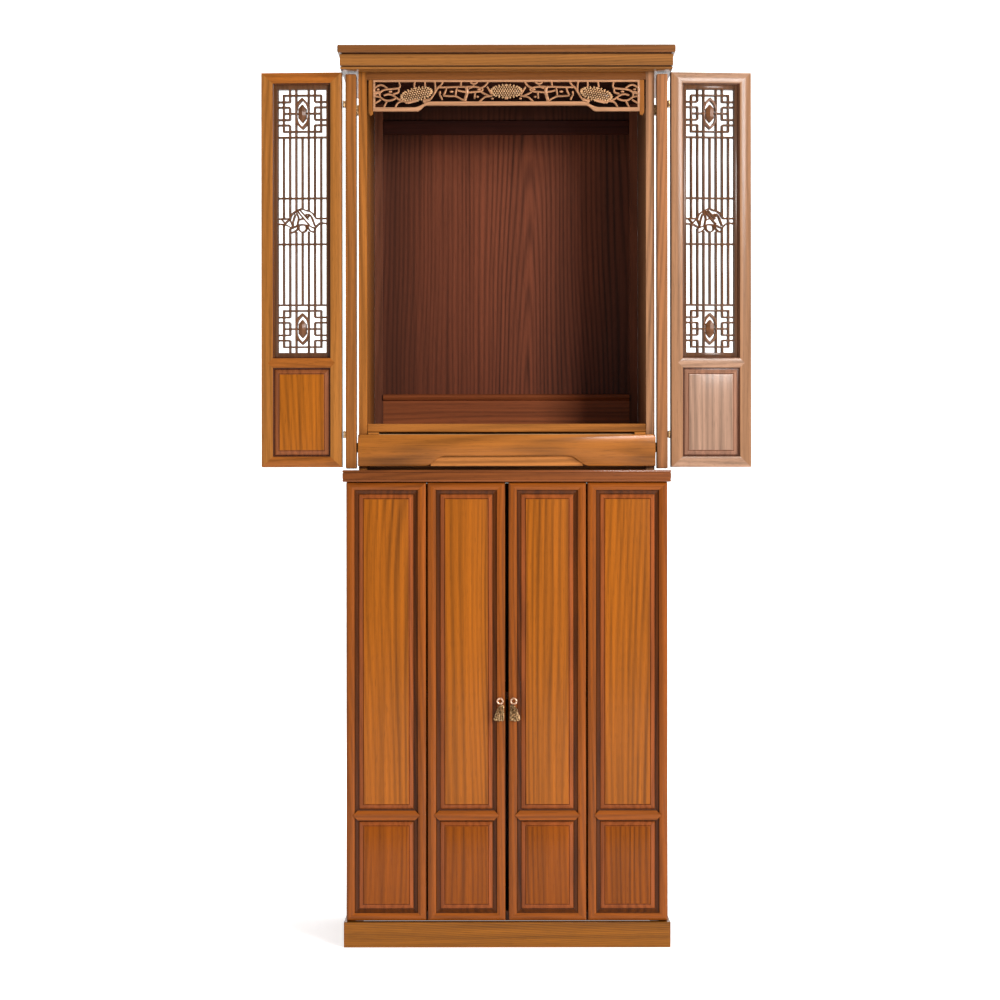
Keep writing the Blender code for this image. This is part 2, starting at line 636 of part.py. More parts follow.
def lattice_cells(half_width, half_height):
    """Openings between the bars: a patterned block above and below a plain field with a flower."""
    half_bar = BAR_WIDTH / 2
    pitch = BAR_PITCH
    block = half_height - BLOCK_HEIGHT / 2
    cells = []

    def add(points, mirror_up=False):
        for across in (1, -1):
            for up in ((1, -1) if mirror_up else (1,)):
                cells.append([(across * x, up * z) for x, z in points])

    def between(number):
        """Left and right edge of the space outside bar number, counted from the middle."""
        left = number * pitch + half_bar
        right = (number + 1) * pitch - half_bar if number < 3 else half_width
        return left, right

    # Blocks: rails across the middle bars, a pointed ring and a faceted lozenge in the centre
    top = half_height
    rail_low, rail_high = BLOCK_RAIL - half_bar, BLOCK_RAIL + half_bar
    foot = block - BLOCK_HEIGHT / 2
    edge = 3 * pitch + half_bar
    step = 2 * pitch + half_bar
    add([(half_width, foot + half_bar), (half_width, top), (step, top), (step, block + rail_high),
         (edge, block + rail_high), (edge, block - rail_high), (step, block - rail_high),
         (step, foot + half_bar)], True)
    for low, high in ((block + rail_high, top), (foot + half_bar, block - rail_high)):
        left, right = between(1)
        add(rectangle(left, right, low, high), True)
        reach = pitch - half_bar
        for up in (1, -1):
            cells.append([(x, up * z) for x, z in rectangle(-reach, reach, low, high)])
    left, right = pitch + half_bar, edge - BAR_WIDTH
    add(rectangle(left, right, block + half_bar, block + rail_low), True)
    add(rectangle(left, right, block - rail_low, block - half_bar), True)
    reach = pitch - half_bar
    start = math.acos(reach / pitch)
    end = math.asin(rail_low / RING_HALF_HEIGHT)
    for up in (1, -1):
        corner = [(reach, up * rail_low)]
        for share in (0.0, 0.5, 1.0):
            angle = start + (end - start) * share
            corner.append((pitch * math.cos(angle), up * RING_HALF_HEIGHT * math.sin(angle)))
        add([(x, block + z) for x, z in corner], True)
        inner = [(-LOZENGE_HALF_WIDTH * 0.72, up * LOZENGE_HALF_HEIGHT * 0.52)]
        bow = [math.radians(angle) for angle in (130, 90, 50)]
        inner += [((pitch - 0.0034) * math.cos(angle), up * (RING_HALF_HEIGHT - 0.0042) * math.sin(angle))
                  for angle in bow]
        inner += [(LOZENGE_HALF_WIDTH * 0.72, up * LOZENGE_HALF_HEIGHT * 0.52),
                  (0.0, up * (LOZENGE_HALF_HEIGHT + 0.001))]
        for mirror in (1, -1):
            cells.append([(x, mirror * (block + z)) for x, z in inner])

    # Plain field: bars only, in three bands
    inner_rail = foot - PLAIN_BAND
    for number in range(4):
        left, right = between(number)
        add(rectangle(left, right, inner_rail + half_bar, foot - half_bar), True)

    # Middle band: bars stop at the flower, drawn in units of one bar spacing
    head = [(3.95, 0.43), (2.1, 0.43), (1.95, 1.15), (1.0, 1.72), (0.0, 2.2)]
    base = [(3.95, -0.5), (2.9, -0.45), (2.0, -1.15), (2.0, -1.8), (1.0, -1.58), (0.0, -1.9)]

    def along(line, across):
        """Height of a broken line at a distance from the middle."""
        for (x1, z1), (x2, z2) in zip(line, line[1:]):
            if x2 <= across <= x1 and x1 != x2:
                return z1 + (z2 - z1) * (across - x1) / (x2 - x1)
        return line[0][1]

    for number in range(4):
        left, right = between(number)
        shape = [(left, inner_rail - half_bar), (right, inner_rail - half_bar)]
        shape += [(right, along(head, right / pitch) * pitch + half_bar),
                  (left, along(head, left / pitch) * pitch + half_bar)]
        add(shape)
        shape = [(left, -inner_rail + half_bar), (right, -inner_rail + half_bar)]
        shape += [(right, along(base, right / pitch) * pitch - half_bar),
                  (left, along(base, left / pitch) * pitch - half_bar)]
        add(shape)
    petals = [
        [(3.78, 0.28), (3.14, 0.28), (3.14, -0.36), (3.78, -0.36)],
        [(2.85, 0.26), (2.18, 0.28), (1.72, -0.50), (1.92, -0.86), (2.85, -0.30)],
        [(1.85, -1.55), (1.00, -0.92), (0.82, -1.08), (1.02, -1.34), (1.60, -1.66)],
        [(1.86, 0.36), (1.74, 0.98), (1.02, 1.06), (0.62, 0.20), (0.80, -0.22), (1.35, -0.20)],
        [(1.02, 1.36), (0.16, 1.84), (0.12, 1.30), (0.62, 1.02)],
    ]
    for petal in petals:
        add([(x * pitch, z * pitch) for x, z in petal])
    seed = [(-0.5, -0.78), (0.0, -0.62), (0.5, -0.78), (0.5, -1.30), (0.0, -1.60), (-0.5, -1.30)]
    heart = [(-0.45, -0.38), (0.0, -0.44), (0.45, -0.38), (0.0, 0.42)]
    cells.append([(x * pitch, z * pitch) for x, z in seed])
    cells.append([(x * pitch, z * pitch) for x, z in heart])
    return cells


def lattice_mesh(width, height):
    """Lattice that fills a leaf's upper opening, centred on the origin."""
    half_width, half_height = width / 2 - TOUCH, height / 2 - TOUCH
    cells = lattice_cells(half_width - LATTICE_BORDER_SIDE, half_height - LATTICE_BORDER_TOP)
    outline = rectangle(-half_width, half_width, -half_height, half_height)
    return fretwork_mesh(outline, cells, 0.0, LATTICE_THICKNESS)


def hinge_empty(name, across, depth, parent=None):
    """Empty on an upright hinge axis. Its children keep their places in the closed cabinet."""
    empty = bpy.data.objects.new(name, None)
    empty.empty_display_size = 0.05
    PARTS.objects.link(empty)
    empty.location = (across, depth, 0.0)
    if parent:
        hang_on(empty, parent)
    return empty


def hang_on(piece, empty):
    """Parents a piece to a hinge empty without moving it."""
    piece.parent = empty
    piece.matrix_parent_inverse = Matrix.Translation(-empty.location)


def make_altar_leaves():
    """Two leaves a side: the outer swings on its post, the inner folds onto the outer's face."""
    foot = MID_BOARD_TOP + LEAF_FOOT_GAP
    head = MOULDING_FOOT - LEAF_HEAD_GAP
    axis = POST_OUTER + HINGE_OFFSET
    panel = (foot + LEAF_RAIL, foot + LEAF_RAIL + LEAF_PANEL_HEIGHT)
    grille = (panel[1] + LEAF_RAIL, head - LEAF_RAIL)
    lattice = lattice_mesh(LEAF_OPENING_WIDTH, grille[1] - grille[0])
    for side, sign, swing in (("left", -1, LEFT_SWING), ("right", 1, RIGHT_SWING)):
        fold = LEAF_EDGE - LEAF_OUTER_WIDTH
        inner_edge = fold - 2 * TOUCH
        spans = {"outer": (fold, LEAF_EDGE, fold + LEAF_STILE),
                 "inner": (inner_edge - LEAF_INNER_WIDTH, inner_edge,
                           inner_edge - LEAF_STILE - LEAF_OPENING_WIDTH)}
        post_hinge = hinge_empty("altar_leaf_hinge_" + side, sign * axis, HINGE_PLANE)
        fold_hinge = hinge_empty("altar_fold_hinge_" + side, sign * (fold - TOUCH), FOLD_PLANE, post_hinge)
        for leaf, (near, far, opening) in spans.items():
            empty = post_hinge if leaf == "outer" else fold_hinge
            left, right = sorted((sign * near, sign * far))
            opening_left, opening_right = sorted((sign * opening, sign * (opening + LEAF_OPENING_WIDTH)))
            corners = [((opening_left, low), (opening_right, high)) for low, high in (panel, grille)]
            frame = leaf_frame("altar_leaf_" + side + "_" + leaf + "_frame", left, right, foot, head,
                               corners, LEAF_CHAMFER, HONEY_WOOD)
            hang_on(frame, empty)
            field = raised_panel("altar_leaf_" + side + "_" + leaf + "_panel", *corners[0],
                                 LEAF_PANEL_BEVEL, HONEY_WOOD)
            hang_on(field, empty)
            grid = add_piece("altar_leaf_" + side + "_" + leaf + "_lattice", lattice.copy(), DARK_WOOD)
            grid.location = ((opening_left + opening_right) / 2, DOOR_FRONT + LATTICE_SETBACK,
                             (grille[0] + grille[1]) / 2)
            hang_on(grid, empty)
        post_hinge.rotation_euler.z = sign * math.radians(swing)
        fold_hinge.rotation_euler.z = sign * math.radians(FOLD_SWING)
    bpy.data.meshes.remove(lattice)


def pull_outline(sign):
    """Half of a bell-shaped plate: narrow at the head, flared and scalloped at the foot."""
    half = [(0.0, 0.0), (0.36, -0.03), (0.70, -0.04), (1.0, 0.0), (0.96, 0.14), (0.80, 0.36),
            (0.70, 0.62), (0.56, 0.86), (0.30, 1.0), (0.0, 0.94)]
    return [(sign * x * PULL_WIDTH, z * PULL_HEIGHT) for x, z in half]


def make_pull(side, sign, edge, empty):
    """Cast bronze pull: a flared plate with a domed relief, and an eye standing on its head."""
    inner = edge + PULL_EDGE_GAP
    foot = DOOR_FOOT + PULL_RISE - PULL_HEIGHT / 2
    outline = [(sign * inner + x, foot + z) for x, z in pull_outline(sign)]
    front = DOOR_FRONT - TOUCH
    pull = add_piece("door_pull_" + side, prism_mesh(outline, front - PULL_THICKNESS, front, "Y"),
                     BRONZE, 0.45, 0.9)
    dome = bmesh.new()
    bmesh.ops.create_uvsphere(dome, u_segments=10, v_segments=4, radius=1.0)
    bmesh.ops.scale(dome, vec=(PULL_WIDTH * 0.34, PULL_RELIEF, PULL_HEIGHT * 0.38), verts=dome.verts)
    middle = sign * (inner + PULL_WIDTH * 0.40)
    bmesh.ops.translate(dome, vec=(middle, front - PULL_THICKNESS, foot + PULL_HEIGHT * 0.45),
                        verts=dome.verts)
    cut(pull, mesh_from(dome), "UNION")
    eye_height = foot + PULL_HEIGHT + PULL_EYE_RADIUS
    eye = bmesh.new()
    rings = 10
    section = 5
    loops = []
    for turn in range(rings):
        angle = 2 * math.pi * turn / rings
        loop = []
        for corner in range(section):
            around = 2 * math.pi * corner / section
            reach = PULL_EYE_RADIUS + PULL_EYE_WIRE * math.cos(around)
            loop.append(eye.verts.new((
                sign * (inner + PULL_WIDTH * 0.36) + reach * math.cos(angle),
                front - PULL_THICKNESS / 2 - PULL_EYE_WIRE + PULL_EYE_WIRE * math.sin(around),
                eye_height + reach * math.sin(angle))))
        loops.append(loop)
    for turn in range(rings):
        for corner in range(section):
            after, beside = (turn + 1) % rings, (corner + 1) % section
            eye.faces.new((loops[turn][corner], loops[after][corner], loops[after][beside],
                           loops[turn][beside]))
    cut(pull, mesh_from(eye), "UNION")
    hang_on(pull, empty)


def make_lower_doors():
    """Four panelled doors in two folding pairs, closed, with a pull on each middle door."""
    foot = DOOR_FOOT
    head = MID_BOARD_FOOT - DOOR_HEAD_GAP
    outer_edge = LOWER_WIDTH / 2
    fold = outer_edge - DOOR_OUTER_WIDTH
    inner_edge = fold - DOOR_LEAF_GAP
    low_panel = (foot + DOOR_RAIL, foot + DOOR_RAIL + DOOR_LOW_PANEL_HEIGHT)
    high_panel = (low_panel[1] + DOOR_RAIL, head - DOOR_RAIL)
    spans = {"outer": (fold, outer_edge), "inner": (inner_edge - DOOR_INNER_WIDTH, inner_edge)}
    for side, sign in (("left", -1), ("right", 1)):
        side_hinge = hinge_empty("lower_door_hinge_" + side, sign * (outer_edge + HINGE_OFFSET), HINGE_PLANE)
        fold_hinge = hinge_empty("lower_fold_hinge_" + side, sign * (fold - DOOR_LEAF_GAP / 2), FOLD_PLANE,
                                 side_hinge)
        for leaf, (near, far) in spans.items():
            empty = side_hinge if leaf == "outer" else fold_hinge
            left, right = sorted((sign * near, sign * far))
            corners = [((left + DOOR_STILE, low), (right - DOOR_STILE, high))
                       for low, high in (low_panel, high_panel)]
            frame = leaf_frame("lower_door_" + side + "_" + leaf + "_frame", left, right, foot, head,
                               corners, DOOR_CHAMFER, RED_WOOD)
            hang_on(frame, empty)
            for level, corner in zip(("low", "high"), corners):
                panel = raised_panel("lower_door_" + side + "_" + leaf + "_" + level + "_panel", *corner,
                                     DOOR_PANEL_BEVEL, RED_WOOD)
                hang_on(panel, empty)
        make_pull(side, sign, spans["inner"][0], fold_hinge)


make_cornice()
make_upper_carcass()
make_valance()
make_drawer()
make_lower_carcass()
make_posts()
make_altar_leaves()
make_lower_doors()
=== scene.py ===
"""Household altar cabinet: the finish of every surface, and the finer carving, over the built cabinet."""
import json
import math

import bmesh
import bpy
from mathutils import Matrix, Vector


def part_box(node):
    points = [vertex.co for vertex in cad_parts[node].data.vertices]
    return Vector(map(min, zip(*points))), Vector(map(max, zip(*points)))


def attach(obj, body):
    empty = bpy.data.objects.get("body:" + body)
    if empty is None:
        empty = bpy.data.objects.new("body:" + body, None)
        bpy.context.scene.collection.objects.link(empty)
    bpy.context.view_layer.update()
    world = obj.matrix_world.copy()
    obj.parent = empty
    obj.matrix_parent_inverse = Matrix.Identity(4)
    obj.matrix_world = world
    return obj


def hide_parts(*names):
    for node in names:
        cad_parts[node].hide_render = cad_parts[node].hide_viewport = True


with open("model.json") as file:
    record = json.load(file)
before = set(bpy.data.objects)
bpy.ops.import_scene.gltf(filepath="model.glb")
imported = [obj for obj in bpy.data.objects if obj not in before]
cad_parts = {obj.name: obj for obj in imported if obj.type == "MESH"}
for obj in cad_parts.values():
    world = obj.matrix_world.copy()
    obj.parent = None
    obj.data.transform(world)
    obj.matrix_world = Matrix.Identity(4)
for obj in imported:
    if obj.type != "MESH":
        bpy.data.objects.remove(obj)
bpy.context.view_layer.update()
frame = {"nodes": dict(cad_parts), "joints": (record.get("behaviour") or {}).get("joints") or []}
nodes = frame["nodes"]


# Studio
# The cabinet stands on a pale floor that curves up into a pale wall, so no horizon shows.
# The camera is a long lens at chest height. Two soft lights stand to its right, and others fill in.
CAMERA_PLACE = (-0.0125, -6.71, 0.8246)
CAMERA_LENS = 126.5
CAMERA_ROLL = 0.05
AIR_LIGHT = 0.22
FLOOR_SIZE = (40.0, 24.0, 1.0)
FLOOR_MIDDLE = (0.0, -6.0, 0.0)
FLOOR_BACK = 5.9
CURVE_STEPS = 8
CURVE_STEP = 0.9
WALL_HEIGHT = 8.0
PAPER_TONE = 0.93
PAPER_ROUGHNESS = 0.9
PAPER_GLOW = 0.42

camera = bpy.data.objects.new("camera", bpy.data.cameras.new("camera"))
bpy.context.scene.collection.objects.link(camera)
bpy.context.scene.camera = camera
camera.location = CAMERA_PLACE
camera.rotation_euler = (math.radians(90), math.radians(CAMERA_ROLL), 0)
camera.data.lens = CAMERA_LENS
camera.data.sensor_width = 36.0
camera.data.clip_end = 60.0


def softbox(name, place, aim, size, power, spread=180):
    """Square area light that faces a point, with its beam narrowed to a spread in degrees."""
    lamp = bpy.data.lights.new(name, "AREA")
    lamp.shape = "SQUARE"
    lamp.size = size
    lamp.energy = power
    lamp.spread = math.radians(spread)
    holder = bpy.data.objects.new(name, lamp)
    bpy.context.scene.collection.objects.link(holder)
    holder.location = place
    holder.rotation_euler = (Vector(aim) - Vector(place)).to_track_quat("-Z", "Y").to_euler()


softbox("key_light", (2.0, -4.9, 2.3), (0.0, -0.2, 0.8), 1.1, 190)
softbox("edge_light", (4.4, -2.4, 2.2), (0.0, -0.2, 0.9), 1.6, 160)
softbox("left_fill", (-3.0, -2.6, 1.2), (0.0, -0.2, 0.8), 2.4, 12)
softbox("floor_light", (0.0, -0.5, 4.6), (0.0, -0.4, 0.0), 3.6, 64, 120)
softbox("wall_light_left", (-3.2, 2.6, 2.6), (-1.4, 7.0, 1.2), 2.6, 280)
softbox("wall_light_right", (3.2, 2.6, 2.6), (1.4, 7.0, 1.2), 2.6, 280)

world = bpy.data.worlds.new("studio_air")
world.use_nodes = True
air = world.node_tree.nodes["Background"].inputs
air["Color"].default_value = (1.0, 1.0, 1.0, 1.0)
air["Strength"].default_value = AIR_LIGHT
bpy.context.scene.world = world
bpy.context.scene.view_settings.view_transform = "Standard"


def deselect():
    """Nothing selected, and object mode."""
    if bpy.context.mode != "OBJECT":
        bpy.ops.object.mode_set(mode="OBJECT")
    bpy.ops.object.select_all(action="DESELECT")


def apply_moves():
    """Writes the place, turn and size of what is selected into its mesh."""
    bpy.ops.object.transform_apply(location=True, rotation=True, scale=True)


deselect()
bpy.ops.mesh.primitive_plane_add(size=1.0, location=(0.0, 0.0, 0.0))
floor = bpy.context.active_object
floor.name = "studio_floor"
floor.scale = FLOOR_SIZE
floor.location = FLOOR_MIDDLE
apply_moves()
bpy.ops.object.mode_set(mode="EDIT")
bpy.ops.mesh.select_mode(type="EDGE")
bpy.ops.mesh.select_all(action="DESELECT")
shape = bmesh.from_edit_mesh(floor.data)
for edge in shape.edges:
    edge.select_set(all(vert.co.y > FLOOR_BACK for vert in edge.verts))
bmesh.update_edit_mesh(floor.data)
for step in range(CURVE_STEPS):
    lean = math.radians(90) * (step + 0.5) / CURVE_STEPS
    run, climb = CURVE_STEP * math.cos(lean), CURVE_STEP * math.sin(lean)
    bpy.ops.mesh.extrude_region_move(TRANSFORM_OT_translate={"value": (0.0, run, climb)})
bpy.ops.mesh.extrude_region_move(TRANSFORM_OT_translate={"value": (0.0, 0.0, WALL_HEIGHT)})
bpy.ops.object.mode_set(mode="OBJECT")
bpy.ops.object.shade_smooth()
paper = bpy.data.materials.new("pale_floor")
paper.use_nodes = True
sheet = paper.node_tree.nodes["Principled BSDF"].inputs
sheet["Base Color"].default_value = (PAPER_TONE, PAPER_TONE, PAPER_TONE, 1.0)
sheet["Roughness"].default_value = PAPER_ROUGHNESS
sheet["Emission Color"].default_value = (1.0, 1.0, 1.0, 1.0)
sheet["Emission Strength"].default_value = PAPER_GLOW
floor.data.materials.append(paper)


# Plinth
# A low frame of four boards, mitred at the corners, with a wide chamfer along its top edge at the
# front. It carries the base cupboard and hides the gap to the floor.
PLINTH_CHAMFER_HEIGHT = 0.00875
PLINTH_CHAMFER_DEPTH = 0.0035
PLINTH_BOARD = 0.021
BROWN = (146, 86, 17)


class Wire:
    """Output of a shader node. Sums on it add Math nodes."""

    def __init__(self, recipe, socket):
        self.recipe = recipe
        self.socket = socket

    def maths(self, operation, first, second=0.0):
        return self.recipe.node("ShaderNodeMath", {"operation": operation}, {0: first, 1: second})

    def __add__(self, other):
        return self.maths("ADD", self, other)

    def __mul__(self, other):
        return self.maths("MULTIPLY", self, other)

    def __sub__(self, other):
        return self.maths("SUBTRACT", self, other)

    def __rsub__(self, other):
        return self.maths("SUBTRACT", other, self)

    def __pow__(self, other):
        return self.maths("POWER", self, other)

    def sine(self):
        return self.maths("SINE", self)

    def between(self, low, high):
        """0 at or below low, 1 at or above high, straight between."""
        return self.recipe.node("ShaderNodeMapRange", {"clamp": True},
                                {"Value": self, "From Min": low, "From Max": high})


class Recipe:
    """Material built from nodes. Each call to node adds one and returns its output."""

    def __init__(self, name):
        self.material = bpy.data.materials.new(name)
        self.material.use_nodes = True
        self.tree = self.material.node_tree
        self.shader = self.tree.nodes["Principled BSDF"]

    def put(self, socket, value):
        """Links a Wire to a socket, or sets the socket to a plain value."""
        if isinstance(value, Wire):
            self.tree.links.new(value.socket, socket)
        else:
            socket.default_value = value

    def node(self, kind, settings=None, inputs=None, output=0):
        made = self.tree.nodes.new(kind)
        for key, value in (settings or {}).items():
            setattr(made, key, value)
        for key, value in (inputs or {}).items():
            self.put(made.inputs[key], value)
        return Wire(self, made.outputs[output])

    def mix(self, share, first, second):
        """Colour between two others."""
        return self.node("ShaderNodeMix", {"data_type": "RGBA"}, {0: share, 6: first, 7: second}, 2)

    def finish(self, **sockets):
        for key, value in sockets.items():
            self.put(self.shader.inputs[key.replace("_", " ")], value)
        return self.material


def tone(red, green, blue, lift=1.0):
    """Colour for a shader from 0 to 255 values as seen on a screen, made lighter or deeper by a factor."""
    steps = [value / 255 for value in (red, green, blue)]
    return tuple(lift * (step / 12.92 if step <= 0.04045 else ((step + 0.055) / 1.055) ** 2.4)
                 for step in steps) + (1.0,)


# Every board is the same hardwood, stained and lacquered. Fine fibres run along it, with broad growth
# bands that meander and short dark pores. The tones are shares of the stain's own brightness.
GRAIN_AXES = {"X": (2, 1, 0), "Y": (0, 2, 1), "Z": (0, 1, 2)}
PALE_GRAIN = 0.96
DARK_GRAIN = 0.24
PORE_TONE = 0.13
# Tone of the painted shade inside the cabinet, and how far it fades out past the inside faces
SHADE_TONE = 0.06
SHADE_FADE = 0.003


def wood(name, stain, fibres, pith=(0.11, 0.05), rise=0.05, spacing=0.0105, figure=1.0, gloss=0.40,
         painted_shade=(), room=None):
    """Lacquered wood of one stain, its fibres along X, Y or Z.

    The pith is where the board's growth rings centre, across the board and behind it. The rise is how
    far the fibres climb towards the face, which draws the rings out into long arches. Painted shade
    darkens the stain where shade falls inside the cabinet. Each entry of painted_shade gives a way (up,
    back or out), where the painted shade starts and ends in metres, and how strong it is. No painted shade
    reaches further from the middle than room.
    """
    recipe = Recipe(name)
    position = recipe.node("ShaderNodeTexCoord", output=3)
    split = recipe.node("ShaderNodeSeparateXYZ", inputs={0: position}).socket.node
    across, inwards, along = (Wire(recipe, split.outputs[index]) for index in GRAIN_AXES[fibres])

    def noise(sideways, lengthwise, detail=2.0):
        """Noise with its own fineness across and along the fibres."""
        spot = recipe.node("ShaderNodeCombineXYZ",
                           inputs={0: across * sideways, 1: inwards * sideways, 2: along * lengthwise})
        return recipe.node("ShaderNodeTexNoise", inputs={"Vector": spot, "Scale": 1.0, "Detail": detail})

    wander = noise(5.0, 1.1, 1.0)
    ripple = noise(36.0, 3.0, 1.0)
    sideways = across - pith[0] + (wander - 0.5) * 0.09
    depth = inwards + pith[1] + (along + wander * 0.4) * rise
    radius = (sideways * sideways + depth * depth) ** 0.5
    drift = noise(19.0, 0.7, 2.0)
    rings = ((radius * (math.tau / spacing) + ripple * 4.0 + drift * 11.0).sine() * 0.5 + 0.5) ** 1.6
    patch = noise(16.0, 0.9, 1.0).between(0.30, 0.72)
    streak = noise(95.0, 1.6, 2.0).between(0.34, 0.70)
    fibre = noise(620.0, 9.0).between(0.34, 0.68)
    pore = noise(1300.0, 42.0, 1.0).between(0.60, 0.72)
    share = rings * (patch * 0.7 + 0.3) * 0.50 * figure + streak * 0.34 + fibre * 0.22
    colour = recipe.mix(share, tone(*stain, PALE_GRAIN), tone(*stain, DARK_GRAIN))
    colour = recipe.mix(pore * 0.34, colour, tone(*stain, PORE_TONE))
    # Painted shade: each entry darkens the stain one way, towards the top, the back or the sides, where
    # shade falls
    for way, start, end, strength in painted_shade:
        place = {"up": along, "back": inwards, "out": across * across}[way]
        if way == "out":
            start, end = start * start, end * end
        dark = place.between(start, end) * strength
        if room:
            dark = dark * (across * across).between((room + SHADE_FADE) ** 2, room ** 2)
        colour = recipe.mix(dark, colour, tone(*stain, SHADE_TONE))
    height = fibre * 0.35 - pore * 0.8 - rings * 0.15
    bump = recipe.node("ShaderNodeBump", inputs={"Strength": 0.14, "Distance": 0.0004, "Height": height})
    return recipe.finish(Base_Color=colour, Roughness=fibre * 0.10 + gloss, Specular_IOR_Level=0.06,
                         Coat_Weight=0.22, Coat_Roughness=0.15, Normal=bump)


def block(name, low, high, easing=0.0):
    """Squared piece of wood between two corners, its arrises eased."""
    deselect()
    low, high = Vector(low), Vector(high)
    bpy.ops.mesh.primitive_cube_add(size=1.0, location=(low + high) / 2)
    piece = bpy.context.active_object
    piece.name = name
    piece.scale = high - low
    apply_moves()
    if easing:
        ease = piece.modifiers.new("easing", "BEVEL")
        ease.width = easing
        ease.segments = 2
        bpy.ops.object.modifier_apply(modifier="easing")
    return piece


def pick(piece):
    """One piece active, and nothing else selected."""
    deselect()
    bpy.context.view_layer.objects.active = piece
    piece.select_set(True)


def open_up(piece):
    """Edit mode on one piece, with nothing in it selected."""
    pick(piece)
    bpy.ops.object.mode_set(mode="EDIT")
    bpy.ops.mesh.select_mode(type="FACE")
    bpy.ops.mesh.select_all(action="DESELECT")


def saw(piece, point, normal):
    """Cuts off what lies beyond a plane, and closes the cut."""
    open_up(piece)
    bpy.ops.mesh.select_all(action="SELECT")
    bpy.ops.mesh.bisect(plane_co=point, plane_no=normal, use_fill=True, clear_outer=True)
    bpy.ops.object.mode_set(mode="OBJECT")


def join(name, pieces):
    """Glues several shapes into one piece."""
    deselect()
    for piece in pieces:
        piece.select_set(True)
    bpy.context.view_layer.objects.active = pieces[0]
    if len(pieces) > 1:
        bpy.ops.object.join()
    pieces[0].name = name
    pieces[0].data.name = name
    return pieces[0]


def dress(piece, *materials):
    for material in materials:
        piece.data.materials.append(material)
    return piece


def smooth(piece, angle):
    pick(piece)
    bpy.ops.object.shade_smooth_by_angle(angle=math.radians(angle))
    return piece


def settle(piece, slot, body, *replaced):
    """Puts a piece on its body, and hides the built pieces that it stands for. The slot is not used."""
    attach(piece, body)
    if replaced:
        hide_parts(*replaced)
    return piece


plinth_across = wood("plinth_wood", BROWN, "X", pith=(0.3, 0.06), spacing=0.004, figure=0.7)
plinth_back = wood("plinth_side_wood", BROWN, "Y")
low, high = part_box("plinth_frame")
front_board = dress(block("plinth_front", low, (high.x, low.y + PLINTH_BOARD, high.z), 0.0008),
                    plinth_across)
back_board = dress(block("plinth_back", (low.x, high.y - PLINTH_BOARD, low.z), high, 0.0008),
                   plinth_across)
left_board = dress(block("plinth_left", low, (low.x + PLINTH_BOARD, high.y, high.z), 0.0008),
                   plinth_back)
right_board = dress(block("plinth_right", (high.x - PLINTH_BOARD, low.y, low.z), high, 0.0008),
                    plinth_back)
saw(front_board, (0.0, low.y, high.z - PLINTH_CHAMFER_HEIGHT),
    (0.0, -PLINTH_CHAMFER_HEIGHT, PLINTH_CHAMFER_DEPTH))
for side, corner_x in ((-1, low.x), (1, high.x)):
    for end, corner_y in ((-1, low.y), (1, high.y)):
        corner = (corner_x, corner_y, 0.0)
        saw(front_board if end < 0 else back_board, corner, (side, -end, 0.0))
        saw(left_board if side < 0 else right_board, corner, (-side, end, 0.0))
plinth = join("plinth", [front_board, back_board, left_board, right_board])
settle(smooth(plinth, 20.0), "honey_wood", "cabinet", "plinth_frame")


# Base cupboard
# Two sides, a back, a bottom, one shelf, and the thick board that the altar stands on. The board has
# a nosing with a groove above and below its middle. All of it is stained redder than the altar.
NOSING_BAND = 0.0040
NOSING_GROOVE = 0.0012
RUSSET = (148, 76, 18)
MAHOGANY = (129, 69, 29)


def coat(material, *names):
    """Gives built pieces their finish."""
    for name in names:
        nodes[name].material_slots[0].material = material


def pick_faces(piece, wanted):
    """Selects the faces whose centre and normal pass a test."""
    shape = bmesh.from_edit_mesh(piece.data)
    for face in shape.faces:
        face.select_set(wanted(face.calc_center_median(), face.normal))
    bmesh.update_edit_mesh(piece.data)


russet_up = wood("russet_up", RUSSET, "Z")
russet_across = wood("russet_across", RUSSET, "X")
mahogany_across = wood("mahogany_across", MAHOGANY, "X", figure=0.6)
coat(russet_up, "lower_side_left", "lower_side_right", "lower_back_board")
coat(russet_across, "lower_bottom_board", "lower_shelf")
low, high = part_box("middle_board")
middle = dress(block("middle", low, high, 0.0012), mahogany_across)
open_up(middle)
levels = (high.z - NOSING_BAND, high.z - NOSING_BAND - NOSING_GROOVE, low.z + NOSING_BAND + NOSING_GROOVE,
          low.z + NOSING_BAND)
for level in levels:
    bpy.ops.mesh.select_all(action="SELECT")
    bpy.ops.mesh.bisect(plane_co=(0.0, 0.0, level), plane_no=(0.0, 0.0, 1.0))
for upper, lower in (levels[:2], levels[2:]):
    pick_faces(middle, lambda centre, normal: lower < centre.z < upper and abs(normal.z) < 0.5
               and centre.y < high.y - 0.004)
    bpy.ops.mesh.extrude_region_shrink_fatten(TRANSFORM_OT_shrink_fatten={"value": -0.0012})
bpy.ops.object.mode_set(mode="OBJECT")
settle(smooth(middle, 25.0), "red_wood", "cabinet", "middle_board")


# Doors
# Each door is a frame of stiles and rails with a chamfer on both edges, mitred at the corners. The
# middle rail is let into the stiles with pointed ends. Bevelled panels with a raised field are held
# in grooves. The hollows of the mouldings are stained dark as painted shade.
AMBER = (162, 88, 14)
CHESTNUT = (140, 69, 2)
